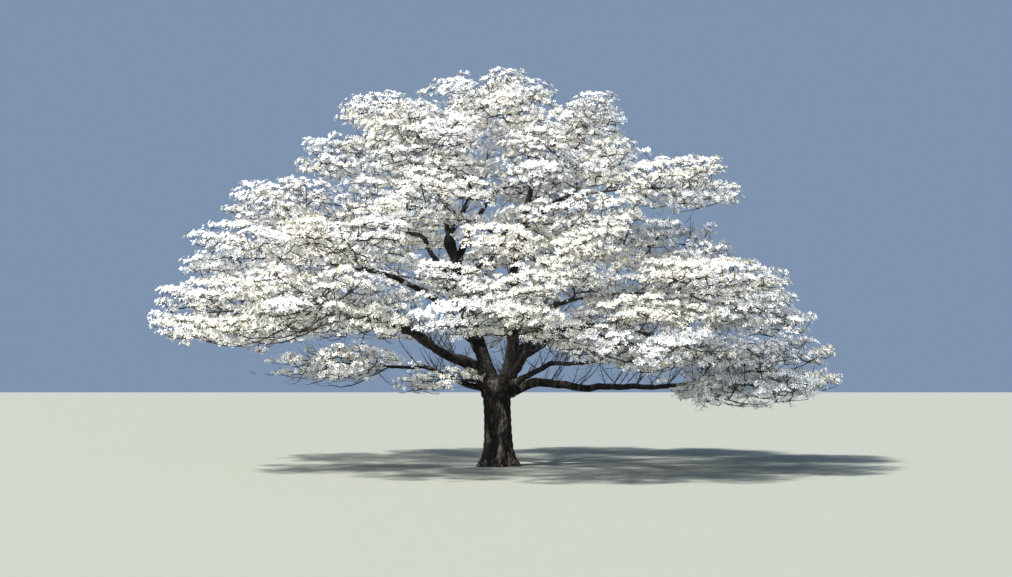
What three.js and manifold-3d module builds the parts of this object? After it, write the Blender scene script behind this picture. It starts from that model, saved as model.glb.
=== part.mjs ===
// A flowering dogwood in full bloom: an old tree that stands alone, with a short flared trunk, two leaders,
// boughs in tiers and flat layers of white blossom that make a broad crown, lower on one side.
// Millimetres, +Z up. The origin is the middle of the flat cut under the trunk, at ground level.
import * as THREE from "three";
import { mergeVertices } from "three/addons/utils/BufferGeometryUtils.js";
import Module from "manifold-3d";

const wasm = await Module();
wasm.setup();

// Trunk: the bare bole, the root flare round its foot in lobes, shallow flutes and the swell under its fork
const TRUNK_HEIGHT = 1300;
const TRUNK_RADIUS = 212;
const TRUNK_TAPER = 0.07;
// How far its top leans to the left, and what share of that it leans back
const TRUNK_LEAN = 25;
const LEAN_BACK = 0.4;
const TRUNK_SHOULDER = 0.86;
const ROOT_FLARE = 105;
const FLARE_HEIGHT = 150;
const ROOT_LOBES = 5;
const LOBE_DEPTH = 62;
const LOBE_TURN = 1.1;
const FLUTES = 3;
const FLUTE_DEPTH = 13;
const FLUTE_TURN = 0.6;
const FLUTE_TWIST = 1.4;
const FORK_SWELL = 34;
const FORK_START = 0.62;
const TRUNK_SIDES = 22;
const TRUNK_RINGS = 9;
// Above 1, rings stand closer together near the ground, where the flare bends most
const RING_CROWDING = 1.5;

// Free space that a piece keeps to its neighbour, and what a limb is cut back by
const CLEARANCE = 0.3;
const CUT_CLEARANCE = 0.45;
// What blossom keeps to the limbs of others, from which distance to its own limb's tip, tested at what step
const LIMB_SPACE = 12;
const TIP_ROOM = 160;
const TRACE_STEP = 30;

// How a limb bends: its handles as a share of its span, its taper, and the waves of its crookedness
const LIMB_HANDLE = 0.36;
const LIMB_TAPER = 0.8;
const WAVE_SIDEWAYS = 5.2;
const WAVE_UPWARDS = 7.5;
const WAVE_FLATTENING = 0.6;

// The two leaders that carry the crown: where each starts, the way it leaves, its tip and the way it arrives
const LEADERS = [
  {
    name: "leader_left", root: [-84, 10, 1110], leave: [-0.25, 0.05, 1],
    tip: [-930, 90, 4700], arrive: [-0.1, 0, 1],
  },
  {
    name: "leader_right", root: [88, 0, 1110], leave: [0.22, 0.08, 1],
    tip: [520, 300, 4350], arrive: [0.25, 0, 1],
  },
];
const LEADER_RADIUS = 126;
const LEADER_TIP_RADIUS = 46;
const LEADER_SWAY = 110;
const LEADER_STEPS = 8;
const LEADER_SIDES = 8;

// Tiers of boughs, from the lowest. Each bough forks at its tip into two layers of blossom.
// left, right and depth: how far the tier reaches to -X, to +X and to the front and back
// leftHeight, rightHeight: the middle of its blossom on those sides; lift: what the front and back add
// half: the half length outwards, half width and half thickness of one layer of blossom; tilt: its droop
// rootHeight: where its first bough leaves the stem, and rootStep how much higher each next one does
// rise: how steeply a bough leaves; drop: how far its tip lies under the blossom's middle
const TIERS = [
  {
    name: "skirt", boughs: 5, turn: 0, left: 5500, right: 5360, depth: 4680,
    leftHeight: 2400, rightHeight: 1500, lift: 560, half: [1460, 1340, 680], tilt: -0.16,
    rootHeight: 1090, rootStep: 0, rise: 0.42, radius: 86, tipRadius: 38, drop: 250,
  },
  {
    name: "lower", boughs: 4, turn: 33, left: 4960, right: 5220, depth: 4200,
    leftHeight: 3270, rightHeight: 2480, lift: 260, half: [1420, 1340, 640], tilt: -0.16,
    rootHeight: 1620, rootStep: 170, rise: 0.62, radius: 76, tipRadius: 36, drop: 330,
  },
  {
    name: "middle", boughs: 3, turn: 30, left: 4330, right: 3770, depth: 3560,
    leftHeight: 4060, rightHeight: 3560, lift: 0, half: [1380, 1300, 600], tilt: -0.16,
    rootHeight: 2300, rootStep: 190, rise: 0.8, radius: 66, tipRadius: 34, drop: 330,
  },
  {
    name: "upper", boughs: 3, turn: 90, left: 3180, right: 3830, depth: 2760,
    leftHeight: 4840, rightHeight: 4400, lift: 90, half: [1320, 1200, 560], tilt: -0.14,
    rootHeight: 3120, rootStep: 160, rise: 0.9, radius: 54, tipRadius: 32, drop: 330,
  },
];
const SKIRT_LEFT_RAISE = 330;
// The share of a heading to one side from which a bough belongs to that side
const SIDE_SHARE = 0.1;
// How far a bough's tip lies inside the crown's edge, in half lengths of its blossom, and how it rises there
const TIP_FROM_EDGE = 1.8;
const TIP_RISE = 0.12;
const BOUGH_SWAY = 75;
const BOUGH_STEPS = 6;
const BOUGH_SIDES = 6;

// The layers that close the crown at the top sit on the leaders' tips, three to a tip, side by side.
// slot: its place on the tip; centre: the middle of the layer
const CROWN_TOP = [
  { name: "top_1", leader: 0, slot: 0, centre: [-430, 20, 5820], half: [1180, 1060, 420], heading: 15 },
  { name: "top_2", leader: 0, slot: 2, centre: [-1370, -330, 5310], half: [1180, 1060, 430], heading: 200 },
  { name: "top_3", leader: 0, slot: -2, centre: [-820, 980, 5440], half: [1080, 1000, 450], heading: 118 },
  { name: "top_4", leader: 1, slot: -2, centre: [-100, -1040, 5420], half: [1100, 1000, 450], heading: 278 },
  { name: "top_5", leader: 1, slot: 0, centre: [1010, -120, 5360], half: [1080, 1000, 480], heading: -4 },
  { name: "top_6", leader: 1, slot: 2, centre: [400, 960, 5360], half: [1080, 1000, 440], heading: 62 },
];
const TOP_TILT = 0.05;

// The three lowest boughs run out nearly level to the front, and their blossom hangs under the skirt
const LOW_BOUGHS = [
  {
    name: "low", heading: 222, rootHeight: 1060, rise: 0.5, radius: 50, tipRadius: 26,
    span: 560, tipHeight: 1330, sway: 20, steps: 4,
    reach: 1980, height: 1410, half: [820, 580, 250], seed: 77,
  },
  {
    name: "low_left", heading: 203, rootHeight: 1120, rise: 0.34, radius: 52, tipRadius: 28,
    span: 1650, tipHeight: 1540, sway: 40, steps: 5,
    reach: 3700, height: 1640, half: [1120, 880, 330], seed: 78,
  },
  {
    name: "low_right", heading: 322, rootHeight: 1170, rise: 0.5, radius: 60, tipRadius: 30,
    span: 1700, tipHeight: 1610, sway: 50, steps: 5,
    reach: 3200, height: 1830, half: [1000, 760, 300], seed: 79,
  },
];

// Twigs in a layer of blossom: one stem from the limb's tip, and twigs in opposite pairs along it
const STEM_STEPS = 4;
const STEM_RADIUS = 19;
const STEM_TIP_RADIUS = 8;
const STEM_REACH = 0.62;
const STEM_HANDLES = [0.3, 0.4];
// The first twigs stand at one of these shares of the stem's way, the last pair before the other
const ENTRY_STEP = 0.05;
const LAST_ENTRY = 0.45;
const LAST_TWIGS = 0.97;
const PAIR_OFFSET = 0.25;
const TWIG_PAIRS = 6;
const TWIG_TO_STEM = 0.42;
const TWIG_ANGLE = 52;
const TWIG_SPREAD = 9;
const TWIG_CLIMB = [0.42, -0.34];
const TWIG_CLIMB_SPREAD = 0.06;

// Sprays: each stands for a fan of twig ends with their flowers. Sizes are shares of the length.
const SPRAY_LENGTH = 1080;
const SPRAY_WIDTH = 0.86;
const SPRAY_THICKNESS = 0.55;
const SPRAY_SHARES = [1, 0.85, 0.7, 0.55, 0.45];
const SPRAY_LEVEL = 0.35;
const SPRAY_ROLL = 0.12;
const SPRAY_ASIDE = 0.32;
const SPRAY_ABOVE = 0.28;
// How far its twig runs into it at least, and the step in which it slides along the twig to find its place
const TWIG_IN_SPRAY = 0.3;
const SLIDE = 0.2;
// How far before a twig's first spray its second one ends
const SECOND_SPRAY = 0.3;
// The spray at a stem's end is tried from this share of the stem on, over the rest of it and beyond
const END_SPRAY_FROM = 0.8;
const END_SPRAY_RUN = 0.2;
const EDGE_STEP = 20;
// How much further than its faces a spray's corners move when it is widened
const CORNER_FACTOR = 1.8;
// A layer's space: what it keeps to its neighbours, the twigs a little more, and how boxy it is (2 is an
// ellipsoid)
const SPACE_MARGIN = 0.03;
const TWIG_MARGIN = 0.04;
const FULLNESS = 2.8;

const BARK = new THREE.MeshStandardMaterial({ color: "#4b4139", roughness: 0.95, metalness: 0 });
const BRACT = new THREE.MeshStandardMaterial({ color: "#f5f3ec", roughness: 0.6, metalness: 0 });

const UP = new THREE.Vector3(0, 0, 1);
// A way that no limb runs, from which the first ring of a rod is turned
const FIRST_ACROSS = new THREE.Vector3(0.31, 0.95, 0.02);
const vector = (xyz) => new THREE.Vector3(...xyz);
const compass = (degrees) => {
  const turn = THREE.MathUtils.degToRad(degrees);
  return new THREE.Vector3(Math.cos(turn), Math.sin(turn), 0);
};

// Numbers from 0 to 1 that come out the same on every run
function seededRandom(seed) {
  let state = seed;
  return () => {
    state = (state * 1664525 + 1013904223) % 4294967296;
    return state / 4294967296;
  };
}

// A closed geometry as a solid that can be joined and cut
function solidOf(geometry) {
  const bare = geometry.clone();
  bare.deleteAttribute("normal");
  bare.deleteAttribute("uv");
  const merged = mergeVertices(bare, 1e-3);
  return new wasm.Manifold(
    new wasm.Mesh({
      numProp: 3,
      vertProperties: merged.attributes.position.array,
      triVerts: new Uint32Array(merged.index.array),
    }),
  );
}

// A cut can leave crumbs, and a spray that its twig misses hangs in the air, so the largest piece is kept
function largestPiece(solid) {
  const pieces = solid.decompose();
  return pieces.reduce((best, piece) => (piece.volume() > best.volume() ? piece : best));
}

function meshOf(name, solid, material) {
  const made = solid.getMesh();
  const geometry = new THREE.BufferGeometry();
  geometry.setAttribute("position", new THREE.BufferAttribute(new Float32Array(made.vertProperties), 3));
  geometry.setIndex(new THREE.BufferAttribute(new Uint32Array(made.triVerts), 1));
  geometry.computeVertexNormals();
  const mesh = new THREE.Mesh(geometry, material);
  mesh.name = name;
  return mesh;
}

// A round or three-sided rod whose rings are moved onto a row of points, each ring square to the way it runs.
// It ends in a point where its last radius is 0.
function rodGeometry(points, radii, sides, firstWay, lastWay) {
  const last = points.length - 1;
  const geometry = new THREE.CylinderGeometry(Math.sign(radii[last]), 1, 1, sides, last);
  const rings = [];
  points.forEach((point, i) => {
    const along = points[Math.min(i + 1, last)].clone().sub(points[Math.max(i - 1, 0)]);
    if (i === 0 && firstWay) along.copy(firstWay);
    if (i === last && lastWay) along.copy(lastWay);
    along.normalize();
    const before = i ? rings[i - 1].across : FIRST_ACROSS;
    const across = before.clone().addScaledVector(along, -before.dot(along)).normalize();
    rings.push({ across, over: across.clone().cross(along) });
  });
  const position = geometry.attributes.position;
  for (let i = 0; i < position.count; i += 1) {
    const ring = Math.round((position.getY(i) + 0.5) * last);
    const moved = points[ring]
      .clone()
      .addScaledVector(rings[ring].across, position.getX(i) * radii[ring])
      .addScaledVector(rings[ring].over, position.getZ(i) * radii[ring]);
    position.setXYZ(i, moved.x, moved.y, moved.z);
  }
  return geometry;
}

// The trunk's middle line at a height
function trunkMiddle(height) {
  const share = height / TRUNK_HEIGHT;
  return new THREE.Vector3(-TRUNK_LEAN * share * share, LEAN_BACK * TRUNK_LEAN * share, height);
}

// The trunk's radius at a height and a turn round it
function trunkRadius(height, turn) {
  const share = height / TRUNK_HEIGHT;
  const flare = Math.exp(-height / FLARE_HEIGHT);
  const lobes = LOBE_DEPTH * flare * Math.cos(ROOT_LOBES * turn + LOBE_TURN);
  const flutes = FLUTE_DEPTH * Math.cos(FLUTES * turn + FLUTE_TURN + FLUTE_TWIST * share);
  const swell = FORK_SWELL * Math.max(0, (share - FORK_START) / (1 - FORK_START)) ** 2;
  return TRUNK_RADIUS * (1 - TRUNK_TAPER * share) + ROOT_FLARE * flare + lobes + flutes + swell;
}

// The trunk, or with extra the space round it that other limbs stay out of
function trunkSolid(extra) {
  const geometry = new THREE.CylinderGeometry(1, 1, 1, TRUNK_SIDES, TRUNK_RINGS);
  const position = geometry.attributes.position;
  for (let i = 0; i < position.count; i += 1) {
    const share = position.getY(i) + 0.5;
    const atTop = share > 1 - 0.5 / TRUNK_RINGS;
    const height = TRUNK_HEIGHT * share ** RING_CROWDING;
    const turn = Math.atan2(-position.getZ(i), position.getX(i));
    const out = Math.hypot(position.getX(i), position.getZ(i));
    const radius = out * ((atTop ? TRUNK_SHOULDER : 1) * trunkRadius(height, turn) + extra);
    const middle = trunkMiddle(height);
    position.setXYZ(
      i,
      middle.x + radius * Math.cos(turn),
      middle.y + radius * Math.sin(turn),
      height + (atTop ? extra : 0),
    );
  }
  return solidOf(geometry);
}

// A limb's points: a curve that leaves its root one way and reaches its tip another, a little crooked
function limbPoints(root, leave, tip, arrive, sway, steps, random) {
  const handle = LIMB_HANDLE * root.distanceTo(tip);
  const curve = new THREE.CubicBezierCurve3(
    root,
    root.clone().addScaledVector(leave.clone().normalize(), handle),
    tip.clone().addScaledVector(arrive.clone().normalize(), -handle),
    tip,
  );
  const sideways = tip.clone().sub(root).cross(UP).normalize();
  const phases = [random() * Math.PI * 2, random() * Math.PI * 2];
  return Array.from({ length: steps + 1 }, (_, i) => {
    const t = i / steps;
    const size = sway * Math.sin(Math.PI * t);
    return curve
      .getPoint(t)
      .addScaledVector(sideways, size * Math.sin(WAVE_SIDEWAYS * t + phases[0]))
      .addScaledVector(UP, WAVE_FLATTENING * size * Math.sin(WAVE_UPWARDS * t + phases[1]));
  });
}

function limb({ name, root, leave, tip, arrive, radius, tipRadius, sway, steps, sides, seed }) {
  const points = limbPoints(root, leave, tip, arrive, sway, steps, seededRandom(seed));
  const radii = points.map((_, i) => radius + (tipRadius - radius) * (i / steps) ** LIMB_TAPER);
  return { name, points, radii, sides, tip, arrive: arrive.clone().normalize() };
}

const leaders = LEADERS.map(({ name, root, leave, tip, arrive }, i) =>
  limb({
    name,
    root: vector(root),
    leave: vector(leave),
    tip: vector(tip),
    arrive: vector(arrive),
    radius: LEADER_RADIUS,
    tipRadius: LEADER_TIP_RADIUS,
    sway: LEADER_SWAY,
    steps: LEADER_STEPS,
    sides: LEADER_SIDES,
    seed: 11 + i,
  }),
);

// Where a limb's middle line passes a height
function pointAtHeight(points, height) {
  const above = Math.max(1, points.findIndex((point) => point.z > height));
  const [low, high] = [points[above - 1], points[above]];
  return low.clone().lerp(high, (height - low.z) / (high.z - low.z));
}

// How far a tier reaches, and how high its blossom lies, on one heading
function tierReach(tier, heading) {
  const way = compass(heading);
  const side = way.x < 0 ? tier.left : tier.right;
  return side * way.x ** 2 + tier.depth * way.y ** 2;
}
function tierHeight(tier, heading) {
  const way = compass(heading);
  const middle = (tier.leftHeight + tier.rightHeight) / 2;
  return middle + (way.x * (tier.rightHeight - tier.leftHeight)) / 2 + tier.lift * way.y ** 2;
}

const boughs = [];
const layers = [];

// A layer of blossom on a limb's tip: its middle, its half sizes and its own axes
function addLayer(name, limbOf, slot, centre, half, heading, tilt) {
  const out = compass(heading).addScaledVector(UP, tilt).normalize();
  const side = UP.clone().cross(out).normalize();
  const up = out.clone().cross(side);
  const seed = 100 + layers.length;
  layers.push({ name: `blossom_${name}`, limb: limbOf, slot, centre, half, out, side, up, seed });
}

// A tier's bough: those of the skirt leave the trunk on the right and the leader on the left
function tierBough(tier, i, heading) {
  const way = compass(heading);
  const isSkirt = tier === TIERS[0];
  const raise = isSkirt && way.x < -SIDE_SHARE ? SKIRT_LEFT_RAISE : 0;
  const rootHeight = tier.rootHeight + tier.rootStep * i + raise;
  const leader = leaders[way.x > SIDE_SHARE ? 1 : 0];
  const tip = way.clone().multiplyScalar(tierReach(tier, heading) - TIP_FROM_EDGE * tier.half[0]);
  return limb({
    name: `bough_${tier.name}_${i + 1}`,
    root: isSkirt && !raise ? trunkMiddle(rootHeight) : pointAtHeight(leader.points, rootHeight),
    leave: way.clone().addScaledVector(UP, tier.rise),
    tip: tip.setZ(tierHeight(tier, heading) - tier.drop),
    arrive: way.clone().addScaledVector(UP, TIP_RISE),
    radius: tier.radius,
    tipRadius: tier.tipRadius,
    sway: BOUGH_SWAY,
    steps: BOUGH_STEPS,
    sides: BOUGH_SIDES,
    seed: 31 + boughs.length,
  });
}

for (const tier of TIERS) {
  const apart = 360 / (2 * tier.boughs);
  for (let i = 0; i < tier.boughs; i += 1) {
    const heading = tier.turn + 2 * apart * i;
    boughs.push(tierBough(tier, i, heading));
    for (const slot of [-1, 1]) {
      const toward = heading + (slot * apart) / 2;
      const centre = compass(toward).multiplyScalar(tierReach(tier, toward) - tier.half[0]);
      centre.setZ(tierHeight(tier, toward));
      const number = 2 * i + (slot > 0 ? 2 : 1);
      addLayer(`${tier.name}_${number}`, boughs.at(-1), slot, centre, tier.half, toward, tier.tilt);
    }
  }
}

for (const top of CROWN_TOP) {
  addLayer(top.name, leaders[top.leader], top.slot, vector(top.centre), top.half, top.heading, TOP_TILT);
}

for (const low of LOW_BOUGHS) {
  const way = compass(low.heading);
  boughs.push(
    limb({
      name: `bough_${low.name}`,
      root: trunkMiddle(low.rootHeight),
      leave: way.clone().addScaledVector(UP, low.rise),
      tip: way.clone().multiplyScalar(low.span).setZ(low.tipHeight),
      arrive: way,
      radius: low.radius,
      tipRadius: low.tipRadius,
      sway: low.sway,
      steps: low.steps,
      sides: BOUGH_SIDES,
      seed: low.seed,
    }),
  );
  const centre = way.clone().multiplyScalar(low.reach - low.half[0]).setZ(low.height);
  addLayer(low.name, boughs.at(-1), 0, centre, low.half, low.heading, 0);
}

// How far a point lies from a layer's middle, in shares of the layer's own half sizes
function shareOut(layer, point) {
  const from = point.clone().sub(layer.centre);
  const [long, wide, thick] = layer.half;
  const shares = [from.dot(layer.out) / long, from.dot(layer.side) / wide, from.dot(layer.up) / thick];
  return shares.reduce((sum, share) => sum + Math.abs(share) ** FULLNESS, 0) ** (1 / FULLNESS);
}

// A layer's own space: inside its rounded box, and nearer to its middle than to any other layer's
function owns(layer, point, margin = SPACE_MARGIN) {
  const own = shareOut(layer, point);
  return own < 1 && layers.every((other) => other === layer || shareOut(other, point) > own + margin);
}

// A spray of blossom as a flat body with eight faces: where it is, its own axes and its half sizes. It sits a
// little to one side of its twig and over it, so that the twig runs in through the middle of a face.
function sprayAt(on, along, length, hand, roll) {
  const axis = along.clone().setZ(SPRAY_LEVEL * along.z).normalize();
  const across = UP.clone().cross(axis).setZ(roll).normalize();
  const over = axis.clone().cross(across).normalize();
  across.copy(over).cross(axis);
  const half = [length / 2, (length * SPRAY_WIDTH) / 2, (length * SPRAY_THICKNESS) / 2];
  const centre = on
    .clone()
    .addScaledVector(across, SPRAY_ASIDE * hand * half[1])
    .addScaledVector(over, SPRAY_ABOVE * half[2]);
  return { centre, axes: [axis, across, over], half };
}

// The points by which a spray is tested: its corners and the middles of its edges
function sprayPoints(spray) {
  const found = [];
  for (const [a, b] of [[0, 1], [1, 2], [0, 2]]) {
    for (const p of [-1, 0, 1]) {
      for (const q of [-1, 0, 1]) {
        const size = Math.max(1, Math.abs(p) + Math.abs(q));
        const point = spray.centre
          .clone()
          .addScaledVector(spray.axes[a], (p * spray.half[a]) / size)
          .addScaledVector(spray.axes[b], (q * spray.half[b]) / size);
        found.push(point);
      }
    }
  }
  return found;
}

// Two sprays are apart where the normal of one of their faces separates them
function spraysMeet(a, b) {
  const signs = [[1, 1, 1], [1, 1, -1], [1, -1, 1], [1, -1, -1]];
  const normals = [a, b].flatMap(({ axes, half }) =>
    signs.map((sign) =>
      axes.reduce((sum, axis, k) => sum.addScaledVector(axis, sign[k] / half[k]), new THREE.Vector3()),
    ),
  );
  const between = a.centre.clone().sub(b.centre);
  return normals.every((normal) => {
    const reach = ({ axes, half }) =>
      Math.max(...axes.map((axis, k) => Math.abs(axis.dot(normal)) * half[k]));
    return Math.abs(between.dot(normal)) < reach(a) + reach(b);
  });
}

// A layer's stem, from its limb's tip to the far side of the layer
function growStem(layer) {
  const { arrive, tip } = layer.limb;
  const beside = UP.clone().cross(arrive).normalize();
  const root = tip
    .clone()
    .addScaledVector(arrive, CLEARANCE)
    .addScaledVector(beside, layer.slot * (STEM_RADIUS + CLEARANCE));
  const end = layer.centre.clone().addScaledVector(layer.out, STEM_REACH * layer.half[0]);
  const span = root.distanceTo(end);
  const curve = new THREE.CubicBezierCurve3(
    root,
    root.clone().addScaledVector(arrive, STEM_HANDLES[0] * span),
    end.clone().addScaledVector(layer.out, -STEM_HANDLES[1] * span),
    end,
  );
  const radiusAt = (t) => STEM_RADIUS + (STEM_TIP_RADIUS - STEM_RADIUS) * t;
  const radii = Array.from({ length: STEM_STEPS + 1 }, (_, i) => radiusAt(i / STEM_STEPS));
  const points = curve.getPoints(STEM_STEPS);
  // The solid runs straight from ring to ring, so a twig's rod starts on that line and not on the curve
  const onLine = (t) => {
    const i = Math.min(STEM_STEPS - 1, Math.floor(t * STEM_STEPS));
    return points[i].clone().lerp(points[i + 1], t * STEM_STEPS - i);
  };
  return { curve, points, radii, firstWay: arrive, radiusAt, onLine, end, span };
}
for (const layer of layers) layer.stem = growStem(layer);

// A limb or stem as points close together, with the room that other twigs and blossom leave it there
function traceOf({ points, radii }, owner) {
  return points.slice(1).flatMap((point, i) => {
    const before = points[i];
    const parts = Math.ceil(before.distanceTo(point) / TRACE_STEP);
    return Array.from({ length: parts + 1 }, (_, k) => ({
      point: before.clone().lerp(point, k / parts),
      room: radii[i] + LIMB_SPACE,
      owner,
    }));
  });
}
const trace = [
  ...[...leaders, ...boughs].flatMap((each) => traceOf(each)),
  ...layers.flatMap((layer) => traceOf(layer.stem, layer)),
];

// Whether a layer's spray comes too near a limb or another layer's stem
function sprayTouches(layer, { centre, axes, half }) {
  return trace.some(({ point, room, owner }) => {
    if (owner === layer) return false;
    const from = point.clone().sub(centre);
    const shares = axes.map((axis, k) => Math.abs(from.dot(axis)) / (half[k] + CORNER_FACTOR * room));
    return shares[0] + shares[1] + shares[2] < 1;
  });
}

// The same for a twig, apart from the limb's tip that its own stem grows from
function twigTouches(layer, from, to) {
  const others = trace.filter(
    ({ point, owner }) => owner !== layer && point.distanceTo(layer.limb.tip) > TIP_ROOM,
  );
  return [0, 0.25, 0.5, 0.75, 1].some((t) => {
    const at = from.clone().lerp(to, t);
    return others.some(({ point, room }) => point.distanceTo(at) < room + STEM_RADIUS);
  });
}

// How far a twig can run before it leaves the layer's space
function runToEdge(layer, from, way) {
  let run = 0;
  const inside = (far) => owns(layer, from.clone().addScaledVector(way, far), TWIG_MARGIN);
  while (inside(run + EDGE_STEP)) run += EDGE_STEP;
  return run;
}

// The largest spray that fits on a twig, tried from the twig's far end inwards. It is added to the layer's
// sprays, and the distance to its middle comes back, or 0 where none fits.
function fitSpray(layer, sprays, from, way, run, hand, roll) {
  for (const share of SPRAY_SHARES) {
    const length = SPRAY_LENGTH * share;
    for (let middle = run - 0.5 * length; middle > TWIG_IN_SPRAY * length; middle -= SLIDE * SPRAY_LENGTH) {
      const spray = sprayAt(from.clone().addScaledVector(way, middle), way, length, hand, roll);
      const apart = !sprays.some((other) => spraysMeet(spray, other));
      if (apart && sprayPoints(spray).every((point) => owns(layer, point)) && !sprayTouches(layer, spray)) {
        sprays.push(spray);
        return middle;
      }
    }
  }
  return 0;
}

// The rule that grows a layer: twigs in opposite pairs along its stem that rise and sink by turns, each run
// on to the edge of the layer's space, and sprays on the twigs.
function growLayer(layer) {
  const random = seededRandom(layer.seed);
  const { curve, radiusAt, onLine, end, span } = layer.stem;
  const twigs = [];
  const sprays = [];
  // The first twigs stand where the stem has come into the layer's own space
  let entry = ENTRY_STEP;
  while (entry < LAST_ENTRY && !owns(layer, curve.getPoint(entry), 2 * SPACE_MARGIN)) entry += ENTRY_STEP;
  for (let pair = 0; pair < TWIG_PAIRS; pair += 1) {
    const t = entry + (LAST_TWIGS - entry) * ((pair + PAIR_OFFSET) / TWIG_PAIRS);
    const node = curve.getPoint(t);
    const flat = curve.getTangent(t).setZ(0).normalize();
    for (const hand of [-1, 1]) {
      const angle = THREE.MathUtils.degToRad(TWIG_ANGLE + TWIG_SPREAD * (2 * random() - 1)) * hand;
      const climb = TWIG_CLIMB[(pair + (hand > 0 ? 1 : 0)) % 2] + TWIG_CLIMB_SPREAD * (2 * random() - 1);
      const rolls = [SPRAY_ROLL * (2 * random() - 1), SPRAY_ROLL * (2 * random() - 1)];
      const way = flat.clone().applyAxisAngle(UP, angle).addScaledVector(UP, climb).normalize();
      const run = owns(layer, node) ? runToEdge(layer, node, way) : 0;
      if (twigTouches(layer, node, node.clone().addScaledVector(way, run))) continue;
      const reach = fitSpray(layer, sprays, node, way, run, hand, rolls[0]);
      if (!reach) continue;
      const twigEnd = node.clone().addScaledVector(way, reach);
      twigs.push({ points: [onLine(t), twigEnd], radii: [TWIG_TO_STEM * radiusAt(t), 0] });
      fitSpray(layer, sprays, node, way, reach - SECOND_SPRAY * SPRAY_LENGTH, -hand, rolls[1]);
    }
  }
  const run = owns(layer, end) ? runToEdge(layer, end, layer.out) : 0;
  const beyond = run + END_SPRAY_RUN * span;
  fitSpray(layer, sprays, curve.getPoint(END_SPRAY_FROM), layer.out, beyond, 1, SPRAY_ROLL * random());
  return { twigs, sprays };
}

function sprayGeometry({ centre, axes, half }) {
  const [along, across, over] = axes.map((axis, k) => axis.clone().multiplyScalar(half[k]));
  const placed = new THREE.Matrix4().makeBasis(along, across, over).setPosition(centre);
  return new THREE.OctahedronGeometry(1).applyMatrix4(placed);
}

function layerSolid(layer) {
  const { stem } = layer;
  const { twigs, sprays } = growLayer(layer);
  const parts = [
    solidOf(rodGeometry(stem.points, stem.radii, 3, stem.firstWay)),
    ...twigs.map((twig) => solidOf(rodGeometry(twig.points, twig.radii, 3))),
    ...sprays.map((spray) => solidOf(sprayGeometry(spray))),
  ];
  return largestPiece(wasm.Manifold.union(parts));
}

// A row of points that runs a little further at both ends
function lengthened(points, extra) {
  const on = (end, before) => end.clone().add(end.clone().sub(before).setLength(extra));
  return [on(points[0], points[1]), ...points.slice(1, -1), on(points.at(-1), points.at(-2))];
}

// A limb, or with extra the space round it that the limbs made after it stay out of
function limbSolid({ points, radii, sides, arrive }, extra) {
  const path = extra ? lengthened(points, extra) : points;
  return solidOf(rodGeometry(path, radii.map((radius) => radius + extra), sides, null, arrive));
}

const tree = new THREE.Group();
tree.name = "flowering_dogwood";
tree.add(meshOf("trunk", trunkSolid(0), BARK));

// Each limb is cut back from what it grows out of and from the limbs made before it, so that a thin gap stays
const cutters = [trunkSolid(CUT_CLEARANCE)];
for (const each of [...leaders, ...boughs]) {
  const cut = cutters.reduce((solid, cutter) => solid.subtract(cutter), limbSolid(each, 0));
  tree.add(meshOf(each.name, largestPiece(cut), BARK));
  cutters.push(limbSolid(each, CUT_CLEARANCE));
}
for (const layer of layers) {
  tree.add(meshOf(layer.name, layerSolid(layer), BRACT));
}

export default tree;
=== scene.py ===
# %% [markdown]
# # A flowering dogwood in full bloom
#
# The subject is an old dogwood that stands alone: a short dark trunk, two leaders, boughs in tiers, and
# flat layers of white blossom that close into one broad crown, lower on the right.
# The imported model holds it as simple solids. This lesson grows the same tree again by the same rule, and
# carries it on to finer twigs, with a real flower head at the end of each.

import math

import bpy
import numpy as np
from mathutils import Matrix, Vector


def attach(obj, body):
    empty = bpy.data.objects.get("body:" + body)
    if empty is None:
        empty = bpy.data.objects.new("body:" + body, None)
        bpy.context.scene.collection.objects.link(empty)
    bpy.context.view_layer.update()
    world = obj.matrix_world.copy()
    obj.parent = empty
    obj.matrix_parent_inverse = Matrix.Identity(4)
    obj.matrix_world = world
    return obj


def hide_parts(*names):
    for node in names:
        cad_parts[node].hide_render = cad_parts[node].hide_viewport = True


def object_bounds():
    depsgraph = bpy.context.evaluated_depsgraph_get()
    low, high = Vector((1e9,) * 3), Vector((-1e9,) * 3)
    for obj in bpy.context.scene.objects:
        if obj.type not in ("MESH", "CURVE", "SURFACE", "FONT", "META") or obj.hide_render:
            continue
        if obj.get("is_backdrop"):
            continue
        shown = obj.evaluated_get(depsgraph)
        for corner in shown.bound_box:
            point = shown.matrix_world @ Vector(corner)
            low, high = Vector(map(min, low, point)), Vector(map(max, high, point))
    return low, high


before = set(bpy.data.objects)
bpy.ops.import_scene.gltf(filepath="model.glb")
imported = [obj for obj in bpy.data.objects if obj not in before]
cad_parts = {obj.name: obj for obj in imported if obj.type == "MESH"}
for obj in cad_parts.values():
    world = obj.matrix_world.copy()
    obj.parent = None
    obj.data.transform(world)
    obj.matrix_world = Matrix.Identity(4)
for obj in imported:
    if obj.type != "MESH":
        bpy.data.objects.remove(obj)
cad_low, cad_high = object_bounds()
print("solids", len(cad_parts), "box", [round(x, 2) for x in (*cad_low, *cad_high)])

# %% [markdown]
# ## The camera, the light and the floor
#
# A tree this size is photographed from some 24 m away, at eye height. The camera comes first, because
# every later choice, such as how fine a twig has to be, depends on what it shows. One pixel is about
# 16 mm here. The sun of the photo stands high on the left, so a large soft sun stands there too, and the
# sky is a plain pale one that lets the white blossom show against it.

# %% Camera at eye height, level with the photo's horizon
EYE_HEIGHT = 1.6
DISTANCE = 24.0
TO_THE_RIGHT = 0.125
FOCAL_MM = 54.6
SENSOR_MM = 36.0
PITCH_DEG = 2.78
PHOTO_PIXELS = 1012

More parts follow.
